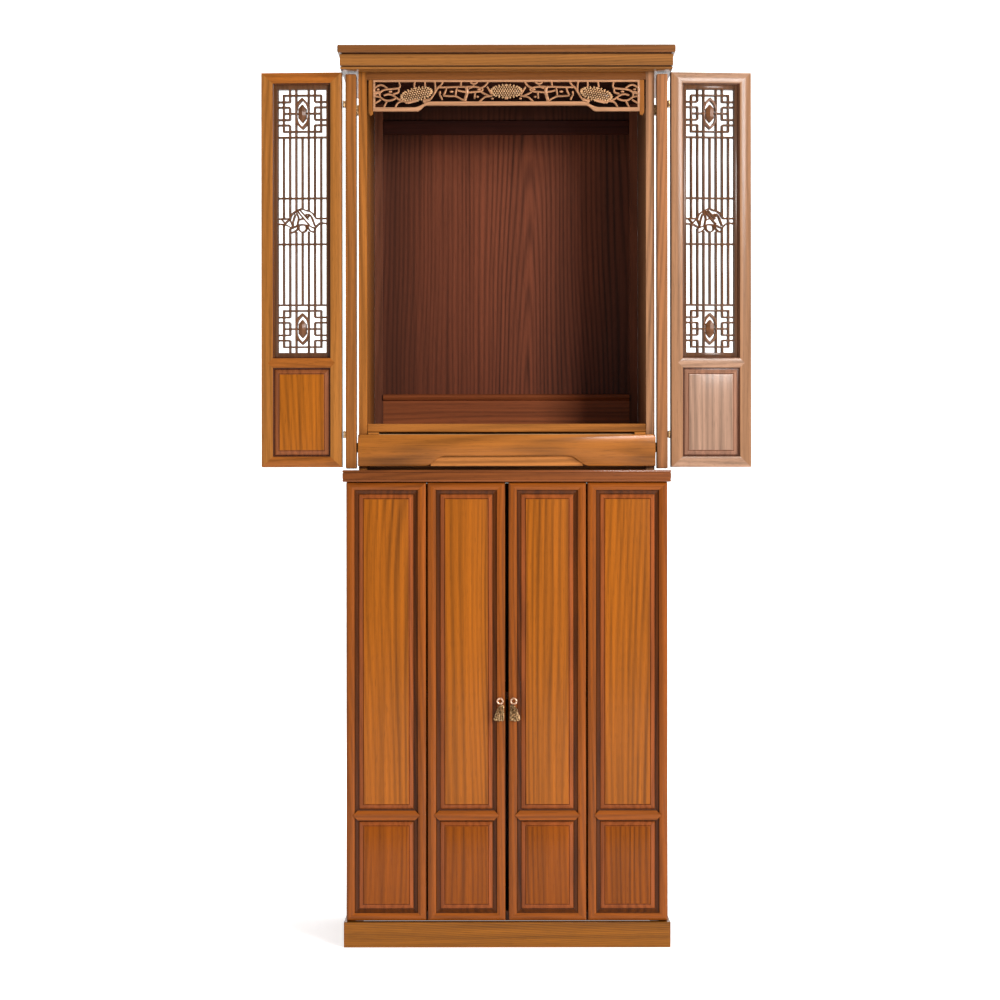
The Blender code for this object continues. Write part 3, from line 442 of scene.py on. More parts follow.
# Dark stain for the hollows of the mouldings: painted shade
RECESS_SHADE = (88, 40, 0)
DOOR_SECTION = ((0.0, 3.6), (0.5, 2.4), (1.4, 1.7), (4.4, 0.25), (5.8, 0.0), (9.6, 0.0), (11.2, 0.3),
                (15.2, 2.0), (16.0, 3.0), (16.6, 5.6), (22.0, 6.3))
RAIL_SECTION = ((0.0, 3.4), (0.5, 2.2), (1.4, 1.5), (4.0, 0.25), (5.2, 0.0), (8.6, 0.0), (10.0, 0.3),
                (13.6, 1.9), (14.4, 2.9), (15.0, 5.6), (20.3, 6.3))
BAR_SECTION = ((0.0, 6.3), (0.8, 5.6), (1.2, 2.0), (2.4, 1.2), (4.6, 0.5), (8.0, 0.0), (12.3, 0.0),
               (15.7, 0.5), (17.9, 1.2), (19.1, 2.0), (19.5, 5.6), (20.3, 6.3))
# Depths behind the face, in metres, between which a moulding is stained dark as painted shade
RECESS_SHADE_DEPTHS = (0.0021, 0.0080)
MITRE_WASTE = 0.03
PANEL_PLAY = 0.0003


def moulded_bar(name, low, high, across, section, materials, flip=False, out="y", faces=(-1, 1),
                shade_depths=RECESS_SHADE_DEPTHS):
    """Bar with a moulded section on its front and back, or on one of them.

    The section is a row of (distance across the bar, depth behind its face) in millimetres. It is
    stretched to the bar's width, and starts at the bar's far edge if flipped.
    """
    bar = block(name, low, high)
    axis, outward = "xyz".index(across), "xyz".index(out)
    start, end = (high[axis], low[axis]) if flip else (low[axis], high[axis])
    width = section[-1][0]
    lines = [(start + (end - start) * place / width, depth / 1000) for place, depth in section]
    open_up(bar)
    direction = (1.0, 0.0, 0.0) if axis == 0 else (0.0, 0.0, 1.0)
    for place, depth in lines[1:-1]:
        bpy.ops.mesh.select_all(action="SELECT")
        bpy.ops.mesh.bisect(plane_co=tuple(place * part for part in direction), plane_no=direction)
    shape = bmesh.from_edit_mesh(bar.data)
    for vert in shape.verts:
        depth = min(lines, key=lambda line: abs(line[0] - vert.co[axis]))[1]
        face = -1 if vert.co[outward] < (low[outward] + high[outward]) / 2 else 1
        if face in faces:
            vert.co[outward] -= face * depth
    # Faces in the hollows between these depths take the second finish, a dark stain as painted shade
    for face in shape.faces:
        centre = face.calc_center_median()[outward]
        depth = min(centre - low[outward], high[outward] - centre)
        face.material_index = int(shade_depths[0] < depth < shade_depths[1])
    bmesh.update_edit_mesh(bar.data)
    bpy.ops.object.mode_set(mode="OBJECT")
    return dress(bar, *materials)


def door_frame(name, low, high, openings, sections, upright, level, proud=(0.0001, 0.0001)):
    """Mitred frame around openings given as (left, right, foot, head), the lowest first."""
    left, right = openings[0][0], openings[0][1]
    foot, head = openings[0][2], openings[-1][3]
    over = MITRE_WASTE
    front, back = low.y, high.y
    stile, rail, bar = sections
    stiles = [moulded_bar("left_stile", (low.x, front, low.z - over), (left, back, high.z + over), "x",
                          stile, upright),
              moulded_bar("right_stile", (right, front, low.z - over), (high.x, back, high.z + over), "x",
                          stile, upright, flip=True)]
    rails = [moulded_bar("foot_rail", (low.x - over, front, low.z), (high.x + over, back, foot), "z",
                         rail, level),
             moulded_bar("head_rail", (low.x - over, front, head), (high.x + over, back, high.z), "z",
                         rail, level, flip=True)]
    for stile_bar, side, edge, inside in ((stiles[0], -1, low.x, left), (stiles[1], 1, high.x, right)):
        for rail_bar, end, outer, inner in ((rails[0], -1, low.z, foot), (rails[1], 1, high.z, head)):
            run, climb = abs(edge - inside), abs(outer - inner)
            saw(stile_bar, (edge, 0.0, outer), (-side * climb, 0.0, end * run))
            saw(rail_bar, (edge, 0.0, outer), (side * climb, 0.0, -end * run))
    for lower, upper in zip(openings, openings[1:]):
        middle = (lower[3] + upper[2]) / 2
        reach = (upper[2] - lower[3]) / 2
        cross = moulded_bar("middle_rail", (left - over, front - proud[0], lower[3]),
                            (right + over, back + proud[1], upper[2]), "z", bar, level)
        for side, edge in ((-1, left), (1, right)):
            for end in (-1, 1):
                saw(cross, (edge + side * reach, 0.0, middle), (side, 0.0, end))
        rails.append(cross)
    return smooth(join(name, stiles + rails), 28.0)


# Each step inwards: run and climb in millimetres, then its finish (0 field, 1 bevel, 2 dark stain as painted
# shade)
PANEL_SECTION = ((1.4, 0.2, 2), (0.8, 0.9, 1), (6.2, 2.3, 1), (0.9, -0.8, 2), (1.0, 0.9, 1), (1.3, 0.2, 0))


def raised_panel(name, low, high, materials):
    """Panel with a lip, a bevel, a small quirk and a raised field, the same on both faces."""
    sink = sum(climb for _, climb, _ in PANEL_SECTION) / 1000
    panel = block(name, (low.x, low.y + sink, low.z), (high.x, high.y - sink, high.z))
    open_up(panel)
    pick_faces(panel, lambda centre, normal: abs(normal.y) > 0.9)

    def paint(finish):
        shape = bmesh.from_edit_mesh(panel.data)
        for face in shape.faces:
            if face.select:
                face.material_index = finish
        bmesh.update_edit_mesh(panel.data)

    # The lip and the quirk take the dark stain, as painted shade
    for run, climb, finish in PANEL_SECTION:
        paint(finish)
        bpy.ops.mesh.inset(thickness=run / 1000, depth=climb / 1000, use_individual=True)
    paint(0)
    bpy.ops.object.mode_set(mode="OBJECT")
    return smooth(dress(panel, *materials), 12.0)


def fit_openings(boxes):
    """Openings of a frame, from the boxes of the pieces that fill them with a little play."""
    spans = [(low.x - PANEL_PLAY, high.x + PANEL_PLAY, low.z - PANEL_PLAY, high.z + PANEL_PLAY)
             for low, high in boxes]
    return sorted(spans, key=lambda span: span[2])


# The second finish of the frames is the dark stain of the hollows, painted shade
door_upright = (wood("door_stile_wood", (144, 73, 15), "Z", pith=(0.5, 0.1), figure=0.7),
                wood("door_recess_shade", RECESS_SHADE, "Z"))
door_level = (wood("door_rail_wood", RUSSET, "X", pith=(0.1, 0.1), figure=0.6), door_upright[1])
door_bevel = wood("door_bevel_wood", (150, 76, 30), "Z", figure=0.6)
PITHS = {"left_outer": -0.16, "left_inner": -0.30, "right_inner": 0.16, "right_outer": 0.34}
for side in ("left", "right"):
    for leaf in ("outer", "inner"):
        body = "lower_door_" + side + "_" + leaf
        levels = [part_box(body + "_" + level + "_panel") for level in ("low", "high")]
        low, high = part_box(body + "_frame")
        piece = door_frame("door_frame_" + side + "_" + leaf, low, high, fit_openings(levels),
                           (DOOR_SECTION, RAIL_SECTION, BAR_SECTION), door_upright, door_level,
                           (0.0012, 0.0001))
        settle(piece, "red_wood", body, body + "_frame")
        for level, corners in zip(("low", "high"), levels):
            stain = CHESTNUT if level == "low" else AMBER
            pith = (PITHS[side + "_" + leaf] + (0.07 if level == "low" else 0.0), 0.24)
            label = "door_" + level + "_panel_" + side + "_" + leaf
            field = wood(label, stain, "Z", pith=pith, rise=0.03)
            piece = raised_panel(label, *corners, (field, door_bevel, door_upright[1]))
            settle(piece, "red_wood", body, body + "_" + level + "_panel")


# Drawer
# One wide front with a long finger scoop along its foot, and a plain tray of pale unfinished wood.
# The scoop is cut from a front layer with smooth shoulders, over a backing that closes it.
HONEY = (172, 105, 42)
BLEACHED = (202, 158, 112)
WELD = 0.000002


def solid(piece, weld=0.0):
    """Turns a curve into a mesh whose faces point outwards, its points welded within a distance."""
    pick(piece)
    bpy.ops.object.convert(target="MESH")
    apply_moves()
    open_up(piece)
    bpy.ops.mesh.select_all(action="SELECT")
    if weld:
        bpy.ops.mesh.remove_doubles(threshold=weld)
    bpy.ops.mesh.normals_make_consistent(inside=False)
    bpy.ops.object.mode_set(mode="OBJECT")
    return piece


def plate(name, outlines, front, thickness, easing):
    """Board sawn to an outline of (x, z) points, its holes after it, its front arrises eased."""
    curve = bpy.data.curves.new(name, "CURVE")
    curve.dimensions = "2D"
    curve.fill_mode = "BOTH"
    curve.extrude = thickness / 2 - easing
    curve.bevel_depth = easing
    curve.offset = -easing
    curve.bevel_resolution = 1
    for points in outlines:
        spline = curve.splines.new("POLY")
        spline.points.add(len(points) - 1)
        for point, (x, z) in zip(spline.points, points):
            point.co = (x, z, 0.0, 1.0)
        spline.use_cyclic_u = True
    piece = bpy.data.objects.new(name, curve)
    bpy.context.scene.collection.objects.link(piece)
    piece.location = (0.0, front + thickness / 2, 0.0)
    piece.rotation_euler = (math.radians(90), 0.0, 0.0)
    return solid(piece, WELD)


SCOOP_FOOT = 0.1527
SCOOP_HEAD = 0.1144
SCOOP_HEIGHT = 0.0190
SCOOP_DEPTH = 0.0090
CORNER_CUT = 0.0050
SLOPE_INSET = 0.012
SLOPE_FRONT = 0.0022
SLOPE_LEAN = 0.0050
honey_across = wood("honey_across", HONEY, "X", pith=(0.9, 0.08))
drawer_wood = wood("drawer_wood", (165, 98, 35), "X", pith=(0.9, 0.08))
low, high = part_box("drawer_front")
scoop = [(SCOOP_FOOT - (SCOOP_FOOT - SCOOP_HEAD) * step / 12,
          low.z + SCOOP_HEIGHT * (1 - math.cos(math.pi * step / 12)) / 2) for step in range(13)]
outline = [(low.x, low.z), *[(-x, z) for x, z in scoop], *reversed(scoop), (high.x, low.z),
           (high.x, high.z - CORNER_CUT), (high.x - CORNER_CUT, high.z), (low.x + CORNER_CUT, high.z),
           (low.x, high.z - CORNER_CUT)]
face = dress(plate("scooped_face", [outline], low.y, SCOOP_DEPTH, 0.0009), drawer_wood)
backing = dress(block("backing", (low.x, low.y + SCOOP_DEPTH, low.z), high, 0.0006), drawer_wood)
slope = block("scoop_slope", (-SCOOP_FOOT + SLOPE_INSET, low.y + SLOPE_FRONT, low.z + 0.0002),
              (SCOOP_FOOT - SLOPE_INSET, low.y + SCOOP_DEPTH + 0.0004, low.z + SCOOP_HEIGHT + 0.001))
open_up(slope)
pick_faces(slope, lambda centre, normal: normal.z > 0.9)
bpy.ops.mesh.select_mode(type="VERT")
shape = bmesh.from_edit_mesh(slope.data)
for vert in shape.verts:
    vert.select_set(vert.co.z > low.z + 0.01 and vert.co.y < low.y + 0.005)
shape.select_flush_mode()
bmesh.update_edit_mesh(slope.data)
bpy.ops.transform.translate(value=(0.0, SLOPE_LEAN, 0.0))
bpy.ops.object.mode_set(mode="OBJECT")
# The slope in the scoop is stained lighter than the front, as painted light
slope = dress(slope, wood("scoop_painted_light", (196, 124, 62), "X"))
settle(smooth(join("drawer_face", [face, backing, slope]), 30.0), "honey_wood", "drawer", "drawer_front")
coat(wood("tray_wood", BLEACHED, "X", gloss=0.55), "drawer_tray")

# A small block stands on the drawer front near each end and keeps it clear of the floor board
STOP_SPAN = (0.2365, 0.2570)
STOP_HEIGHT = 0.0040
STOP_GAP = 0.0002
for side, sign in (("left", -1), ("right", 1)):
    ends = sorted(sign * place for place in STOP_SPAN)
    stop = block("drawer_stop_" + side, (ends[0], low.y + 0.0020, high.z + STOP_GAP),
                 (ends[1], high.y - 0.0012, high.z + STOP_GAP + STOP_HEIGHT), 0.0005)
    settle(dress(stop, honey_across), "honey_wood", "drawer")


# Altar carcass
# Sides, header, ceiling, floor and bottom board are joined as a box, with a slim post beside each side.
# The back is stained dark. The ceiling and the back's top rail are stained near black as painted shade, and
# painted shade darkens the room behind the valance towards its top, its back and its sides.
PINKISH = (184, 131, 92)
# Painted shade on the inside faces of the sides: darker towards the back and towards the top
WALL_SHADE = (("back", -0.180, -0.120, 0.18), ("back", -0.120, 0.230, 0.50), ("up", 1.45, 1.60, 0.4))
honey_up = wood("honey_up", HONEY, "Z")
# The header is stained darker than the sides, partly its own tone and partly painted shade under the cornice
header_wood = wood("header_wood", (132, 78, 34), "X", figure=0.5)
dark_up = wood("dark_up", (126, 70, 46), "Z", figure=0.6)
ceiling_painted_shade = wood("ceiling_painted_shade", (46, 18, 8), "X", figure=0.6)
# Painted shade on the back panel: darker towards its top under the header, and towards its sides
back_wood = wood("back_wood", (138, 72, 46), "Z", pith=(0.045, -0.30), rise=0.07, spacing=0.0085,
                 figure=1.3, painted_shade=(("up", 1.50, 1.60, 0.9), ("out", 0.06, 0.21, 0.55)))
# The back's low rail is stained lighter than the back, as painted light on the lower back
low_rail_painted_light = wood("low_rail_painted_light", (164, 88, 48), "X", figure=0.6)
coat(honey_up, "valance_bar_left", "valance_bar_right")
# The right post and the right side are paler and pinker than the left ones, as a painted sheen of the light
# from the right
coat(wood("post_wood_left", (152, 92, 40), "Z"), "door_post_left")
coat(wood("post_wood_right", (160, 104, 64), "Z"), "door_post_right")
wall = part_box("upper_side_right")[0].x + SHADE_FADE
coat(wood("side_wood_left", HONEY, "Z", painted_shade=WALL_SHADE, room=wall), "upper_side_left")
coat(wood("side_wood_right", PINKISH, "Z", painted_shade=WALL_SHADE, room=wall), "upper_side_right")
coat(header_wood, "altar_header")
coat(honey_across, "altar_floor_board", "upper_bottom_board")
coat(back_wood, "altar_back_panel")
# The ceiling and the back's top rail are stained near black as painted shade under the header
coat(ceiling_painted_shade, "altar_ceiling")
coat(wood("top_rail_painted_shade", (62, 24, 14), "X", figure=0.6), "altar_back_top_rail")
coat(low_rail_painted_light, "altar_back_low_rail")
coat(dark_up, "altar_back_strip_left", "altar_back_strip_right")


# Cornice
# A flat top board over a moulding that runs round three sides, mitred at the front corners. It has a
# quirk under the board, a plain face, and a small bead along its foot.
# The groove over the bead and the foot of the moulding are stained dark as painted shade
cornice_groove_shade = wood("cornice_groove_shade", (70, 34, 8), "X")
cornice_across = wood("cornice_wood", (146, 93, 42), "X", pith=(0.3, 0.06), spacing=0.006, figure=0.7)
cornice_back = wood("cornice_side_wood", (146, 93, 42), "Y")
coat(wood("cornice_top_wood", (121, 74, 35), "X", figure=0.5), "cornice_top_board")
low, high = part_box("cornice_front_moulding")
tall = (high.z - low.z) * 1000
CORNICE_SECTION = ((0.0, 8.2), (0.6, 6.2), (1.4, 5.3), (2.6, 5.0), (3.8, 5.3), (4.6, 6.2), (4.9, 9.0),
                   (6.4, 9.0), (6.8, 5.4), (8.0, 4.4), (tall - 3.8, 4.4), (tall - 2.6, 5.0),
                   (tall - 2.3, 8.6), (tall, 8.6))
CORNICE_SHADE_DEPTHS = (0.0066, 0.0120)
top_low, top_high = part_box("cornice_top_board")
side_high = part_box("cornice_left_moulding")[1]
width = side_high.x - top_low.x
front_rail = moulded_bar("cornice_front", (top_low.x, top_low.y, low.z), (top_high.x, high.y, high.z), "z",
                         CORNICE_SECTION, (cornice_across, cornice_groove_shade), faces=(-1,), shade_depths=CORNICE_SHADE_DEPTHS)
side_rails = []
for side in (-1, 1):
    ends = sorted((side * top_high.x, side * (top_high.x - width)))
    rail = moulded_bar("cornice_side", (ends[0], top_low.y, low.z), (ends[1], side_high.y, high.z), "z",
                       CORNICE_SECTION, (cornice_back, cornice_groove_shade), out="x", faces=(side,),
                       shade_depths=CORNICE_SHADE_DEPTHS)
    corner = (side * top_high.x, top_low.y, 0.0)
    saw(front_rail, corner, (side, 1.0, 0.0))
    saw(rail, corner, (-side, -1.0, 0.0))
    side_rails.append(rail)
cornice = smooth(join("cornice_moulding", [front_rail, *side_rails]), 25.0)
settle(cornice, "honey_wood", "cabinet", "cornice_front_moulding", "cornice_left_moulding",
       "cornice_right_moulding")


# Metal
# Hinges and pulls are cast bronze, browned by hand and rubbed bright on their high places. Two small
# hinges tie each post to the carcass side, and a pull is fixed to each of the middle base doors.
def bronze(name, hollow=(84, 60, 34), rubbed=(196, 158, 112)):
    recipe = Recipe(name)
    position = recipe.node("ShaderNodeTexCoord", output=3)
    cloud = recipe.node("ShaderNodeTexNoise", inputs={"Vector": position, "Scale": 320.0, "Detail": 3.0})
    pits = recipe.node("ShaderNodeTexNoise", inputs={"Vector": position, "Scale": 1400.0, "Detail": 2.0})
    worn = cloud.between(0.42, 0.62)
    colour = recipe.mix(worn, tone(*hollow), tone(*rubbed))
    bump = recipe.node("ShaderNodeBump", inputs={"Strength": 0.3, "Distance": 0.0003, "Height": pits})
    return recipe.finish(Base_Color=colour, Metallic=0.75, Roughness=0.50 - worn * 0.14, Normal=bump)


def rods(name, lines, radius, front, depth, material):
    """Round rods bent along lines of (x, z) points in millimetres, flattened to a depth from a front."""
    curve = bpy.data.curves.new(name, "CURVE")
    curve.dimensions = "3D"
    curve.bevel_depth = radius / 1000
    curve.bevel_resolution = 1
    curve.use_fill_caps = True
    curve.resolution_u = 3
    for line in lines:
        spline = curve.splines.new("POLY" if len(line) < 3 else "NURBS")
        spline.points.add(len(line) - 1)
        for point, (x, z) in zip(spline.points, line):
            point.co = (x / 1000, 0.0, z / 1000, 1.0)
        if spline.type == "NURBS":
            spline.order_u = 3
            spline.use_endpoint_u = True
    piece = bpy.data.objects.new(name, curve)
    bpy.context.scene.collection.objects.link(piece)
    piece.scale = (1.0, depth * 500 / radius, 1.0)
    piece.location = (0.0, front + depth / 2, 0.0)
    return dress(solid(piece), material)


def knob(name, place, size, material, rings=6):
    """Ball stretched to a size, its poles to front and back."""
    deselect()
    bpy.ops.mesh.primitive_uv_sphere_add(segments=rings + 4, ring_count=rings, radius=0.5,
                                         rotation=(math.radians(90), 0.0, 0.0))
    piece = bpy.context.active_object
    piece.name = name
    bpy.ops.object.transform_apply(location=False, rotation=True, scale=False)
    piece.scale = size
    piece.location = place
    apply_moves()
    return dress(piece, material)


def twin(piece, name, move, mirror=False):
    """Copy of a piece with its own mesh, moved, and mirrored left to right if asked."""
    copy = piece.copy()
    copy.data = piece.data.copy()
    copy.name = copy.data.name = name
    bpy.context.scene.collection.objects.link(copy)
    if mirror:
        copy.data.transform(Matrix.Diagonal((-1.0, 1.0, 1.0, 1.0)))
        copy.data.flip_normals()
    copy.data.transform(Matrix.Translation(move))
    return copy


bronze_metal = bronze("browned_bronze")
for side in ("left", "right"):
    coat(bronze_metal, "post_hinge_" + side + "_upper", "post_hinge_" + side + "_lower")

# Each outer leaf turns on two small barrels on its post. A barrel has a finial at each end and a thin
# flap that lies on the post.
BARREL_RADIUS = 0.0019
FLAP = 0.0005
FLAP_DEPTH = 0.0120
BARREL_HEIGHTS = {"lower": 0.9458, "upper": 1.5570}
BARREL_LENGTH = 0.0120
joints = {joint["name"]: joint for joint in frame["joints"]}
for side, sign in (("left", -1), ("right", 1)):
    axis = Vector(joints["altar_leaf_" + side + "_swing"]["pos_m"])
    for place, height in BARREL_HEIGHTS.items():
        deselect()
        bpy.ops.mesh.primitive_cylinder_add(vertices=20, radius=BARREL_RADIUS, depth=BARREL_LENGTH,
                                            location=(axis.x, axis.y, height))
        barrel = bpy.context.active_object
        apply_moves()
        open_up(barrel)
        for end in (-1, 1):
            pick_faces(barrel, lambda centre, normal: normal.z * end > 0.9)
            bpy.ops.mesh.inset(thickness=BARREL_RADIUS * 0.35, depth=0.0)
            bpy.ops.mesh.extrude_region_shrink_fatten(TRANSFORM_OT_shrink_fatten={"value": 0.0009})
            bpy.ops.mesh.inset(thickness=BARREL_RADIUS * 0.3, depth=0.0005)
        bpy.ops.object.mode_set(mode="OBJECT")
        ends = sorted((axis.x - sign * (BARREL_RADIUS + FLAP), axis.x - sign * (BARREL_RADIUS - FLAP)))
        flap = block("flap", (ends[0], axis.y, height - BARREL_LENGTH / 2),
                     (ends[1], axis.y + FLAP_DEPTH, height + BARREL_LENGTH / 2), 0.0001)
        pivot = join("leaf_pivot_" + side + "_" + place, [barrel, flap])
        settle(smooth(dress(pivot, bronze_metal), 35.0), "bronze", "cabinet")

# The pulls are cast plates like a small bell, with ribs that fan out to a scalloped foot, two scrolls
# at the neck and a ring above. The right one is cast once and the left one is its mirror image.
low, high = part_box("door_pull_right")
base = low.z + 0.0012
PULL_SHAPE = ((0.2, 26.0), (0.9, 20.5), (0.4, 14.0), (0.0, 8.0), (0.3, 2.4), (2.2, 0.6), (4.4, 0.0),
              (6.4, 1.2), (8.6, 0.0), (10.8, -0.4), (13.0, 1.0), (15.2, 0.4), (17.4, 1.0), (19.4, 3.0),
              (19.8, 5.4), (18.6, 8.6), (16.6, 12.8), (15.2, 17.0), (12.8, 21.6), (10.6, 24.4),
              (7.0, 26.8), (3.0, 27.2))
PULL_STRETCH = 1.12
PULL_STAND = 0.0036
PULL_PLATE = 0.0034
outline = [(low.x + x / 1000, base + z / 1000 * PULL_STRETCH) for x, z in reversed(PULL_SHAPE)]
front = high.y - PULL_STAND
parts = [dress(plate("cast_plate", [outline], front, PULL_PLATE, 0.0008), bronze_metal)]


def on_pull(*points):
    return [(low.x * 1000 + x, base * 1000 + z * PULL_STRETCH) for x, z in points]


ribs = [on_pull((5.6, 21.0), (3.6, 14.0), (2.6, 8.0), (3.4, 2.6)),
        on_pull((6.6, 20.0), (6.4, 13.0), (6.8, 7.0), (7.8, 2.4)),
        on_pull((7.8, 20.0), (9.2, 13.0), (10.6, 7.4), (12.2, 2.4)),
        on_pull((8.8, 20.8), (12.0, 14.4), (14.6, 9.0), (17.2, 3.8))]
parts.append(rods("pull_ribs", ribs, 1.15, front - 0.0022, 0.0036, bronze_metal))
scrolls = [on_pull((2.0, 17.0), (1.8, 21.6), (4.6, 24.4), (7.2, 22.4), (6.0, 19.6), (4.4, 20.6)),
           on_pull((13.6, 15.6), (12.6, 20.6), (9.6, 23.8), (7.4, 22.0), (8.8, 19.2), (10.2, 20.4))]
parts.append(rods("pull_scrolls", scrolls, 0.95, front - 0.0030, 0.0040, bronze_metal))
for x, z, size in ((7.0, 25.2, 3.4), (9.4, 10.2, 3.0), (4.8, 10.0, 2.6), (13.0, 10.2, 2.6)):
    parts.append(knob("pull_boss", (low.x + x / 1000, front - 0.0006, base + z / 1000 * PULL_STRETCH),
                      (size / 1000, 0.0044, size / 1000), bronze_metal))
deselect()
bpy.ops.mesh.primitive_torus_add(major_segments=28, minor_segments=10, major_radius=0.0050,
                                 minor_radius=0.0018, rotation=(math.radians(90), 0.0, 0.0),
                                 location=(low.x + 0.0078, front - 0.0004, base + 0.0372))
parts.append(dress(bpy.context.active_object, bronze("rubbed_bronze", (150, 112, 84), (240, 198, 168))))
apply_moves()
right_pull = smooth(join("cast_pull_right", parts), 50.0)
left_pull = twin(right_pull, "cast_pull_left", (0.0, 0.0, 0.0), mirror=True)
settle(right_pull, "bronze", "lower_door_right_inner", "door_pull_right")
settle(left_pull, "bronze", "lower_door_left_inner", "door_pull_left")


# Valance
# A pierced board under the header. A narrow band runs round it and follows the shaped foot. Inside
# it, vines wind between three chrysanthemums whose heads are carved into rows of small petals.
VALANCE_BAND = (4.0, 3.6, 7.0)
VALANCE_ARCH = (166.0, 148.0, 10.7)
valance_wood = wood("valance_wood", (192, 140, 102), "X", figure=0.5)
# The flower's dome is stained dark, so the gaps between its petals show painted shade
flower_dome_shade = wood("flower_dome_shade", (84, 52, 28), "X", figure=0.5)
petal_wood = wood("petal_wood", (216, 170, 124), "X", figure=0.3)
low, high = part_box("carved_valance")
half, drop = (high.x - low.x) * 500, (high.z - low.z) * 1000
head = high.z * 1000


def valance_edge(inset_side, inset_top, inset_foot):
    """Outline of the valance, drawn in from its sides, head and foot."""
    outer, inner, climb = VALANCE_ARCH
    outer, inner = outer + inset_foot * 0.9, inner - inset_foot * 1.2
    foot = [(outer - (outer - inner) * step / 8,
             head - drop + inset_foot + climb * (1 - math.cos(math.pi * step / 8)) / 2)
            for step in range(9)]
    points = [(half - inset_side, head - drop + inset_foot), (half - inset_side, head - inset_top),
              (-half + inset_side, head - inset_top), (-half + inset_side, head - drop + inset_foot),
              *[(-x, z) for x, z in foot], *reversed(foot)]
    return [(x / 1000, z / 1000) for x, z in points]


band = plate("valance_band", [valance_edge(0.0, 0.0, 0.0), valance_edge(*VALANCE_BAND)],
             low.y, high.y - low.y, 0.0008)

# Vines, stems and leaves are traced as places (x, y) on a drawing of the left half
VINES = (
    ((150, 175), (185, 145), (225, 148), (255, 168), (270, 178)),
    ((200, 265), (190, 240), (205, 210), (250, 190), (320, 185), (380, 180), (400, 160), (385, 115)),
    ((200, 265), (230, 290), (260, 300), (300, 300), (345, 285), (355, 270)),
    ((235, 250), (270, 235), (310, 240), (345, 260), (375, 285), (420, 305), (470, 318)),
    ((380, 180), (385, 210), (375, 225), (330, 235)), ((140, 330), (190, 305), (205, 290)),
    ((235, 370), (250, 335), (265, 310)), ((345, 380), (355, 345), (385, 310), (420, 305)),
    ((540, 115), (533, 170)), ((640, 115), (640, 165)), ((735, 115), (745, 170), (740, 210)),
    ((815, 115), (800, 150), (770, 165), (740, 215), (715, 260), (690, 290)),
    ((780, 170), (850, 170), (950, 165), (1040, 165)), ((850, 175), (845, 210), (820, 250)),
    ((820, 250), (880, 258), (935, 255), (960, 265), (1015, 295), (1060, 320)),
    ((950, 180), (940, 220), (940, 255)), ((790, 210), (780, 240), (800, 265), (810, 295)),
    ((995, 115), (990, 155)), ((960, 200), (1010, 215), (1050, 215)),
    ((1085, 120), (1120, 152), (1155, 118)), ((1120, 150), (1110, 165), (1070, 180)),
    ((1050, 165), (1100, 160), (1190, 175), (1210, 190), (1190, 210), (1120, 215), (1060, 220)),
    ((1190, 175), (1240, 160), (1255, 115)), ((1250, 165), (1270, 200), (1295, 240)),
    ((1190, 215), (1230, 240), (1280, 258)), ((1130, 225), (1125, 280)),
    ((1300, 255), (1240, 255), (1200, 285), (1175, 310)), ((140, 250), (170, 262), (200, 265)),
)
STEMS = (((1040, 165), (1055, 190), (1050, 240), (1030, 295)), ((150, 230), (175, 215), (205, 225)),
         ((470, 318), (520, 306), (560, 296)), ((690, 290), (660, 300), (620, 302)))
LEAF_TIPS = ((1300, 280, 26), (1430, 278, 22), (460, 320, 30), (300, 212, 34), (180, 190, 26),
             (900, 212, 34), (1170, 190, 34), (1155, 262, 26), (640, 318, 26))
DRAWING_ZOOM = 9.8
DRAWING_CORNER = (360, 70)
VALANCE_HEAD_MIDDLE = (506.7, 80.03)
PIXEL_MM = 1.8568


def half_point(x, y):
    """Millimetres across from the cabinet's middle, and up, of a place on the drawing."""
    across = (x / DRAWING_ZOOM + DRAWING_CORNER[0] - VALANCE_HEAD_MIDDLE[0]) * PIXEL_MM
    down = (y / DRAWING_ZOOM + DRAWING_CORNER[1] - VALANCE_HEAD_MIDDLE[1]) * PIXEL_MM
    return across, head - down


fine = [[half_point(*point) for point in vine] for vine in VINES]
thick = [[half_point(*point) for point in stem] for stem in STEMS]
pieces = [rods("fine_vines", fine, 1.9, low.y + 0.0010, 0.0070, valance_wood),
          rods("thick_stems", thick, 3.2, low.y + 0.0006, 0.0076, valance_wood)]
for x, y, length in LEAF_TIPS:
    x, z = half_point(x, y)
    leaf = knob("vine_leaf", (x / 1000, low.y + 0.004, z / 1000), (length * 0.22 / 1000, 0.0056, 0.0042),
                valance_wood)
    pieces.append(leaf)
vines_left = join("vines_left", pieces)
vines_right = twin(vines_left, "vines_right", (0.0, 0.0, 0.0), mirror=True)


PETAL_STEP = (4.5, 3.7)
DOME_REACH = (27.5, 11.4)
RIM_PETALS = 26
RIM_REACH = (28.6, 11.3)
RIM_STRETCH = (1.75, 1.6, 1.2, 1.0)


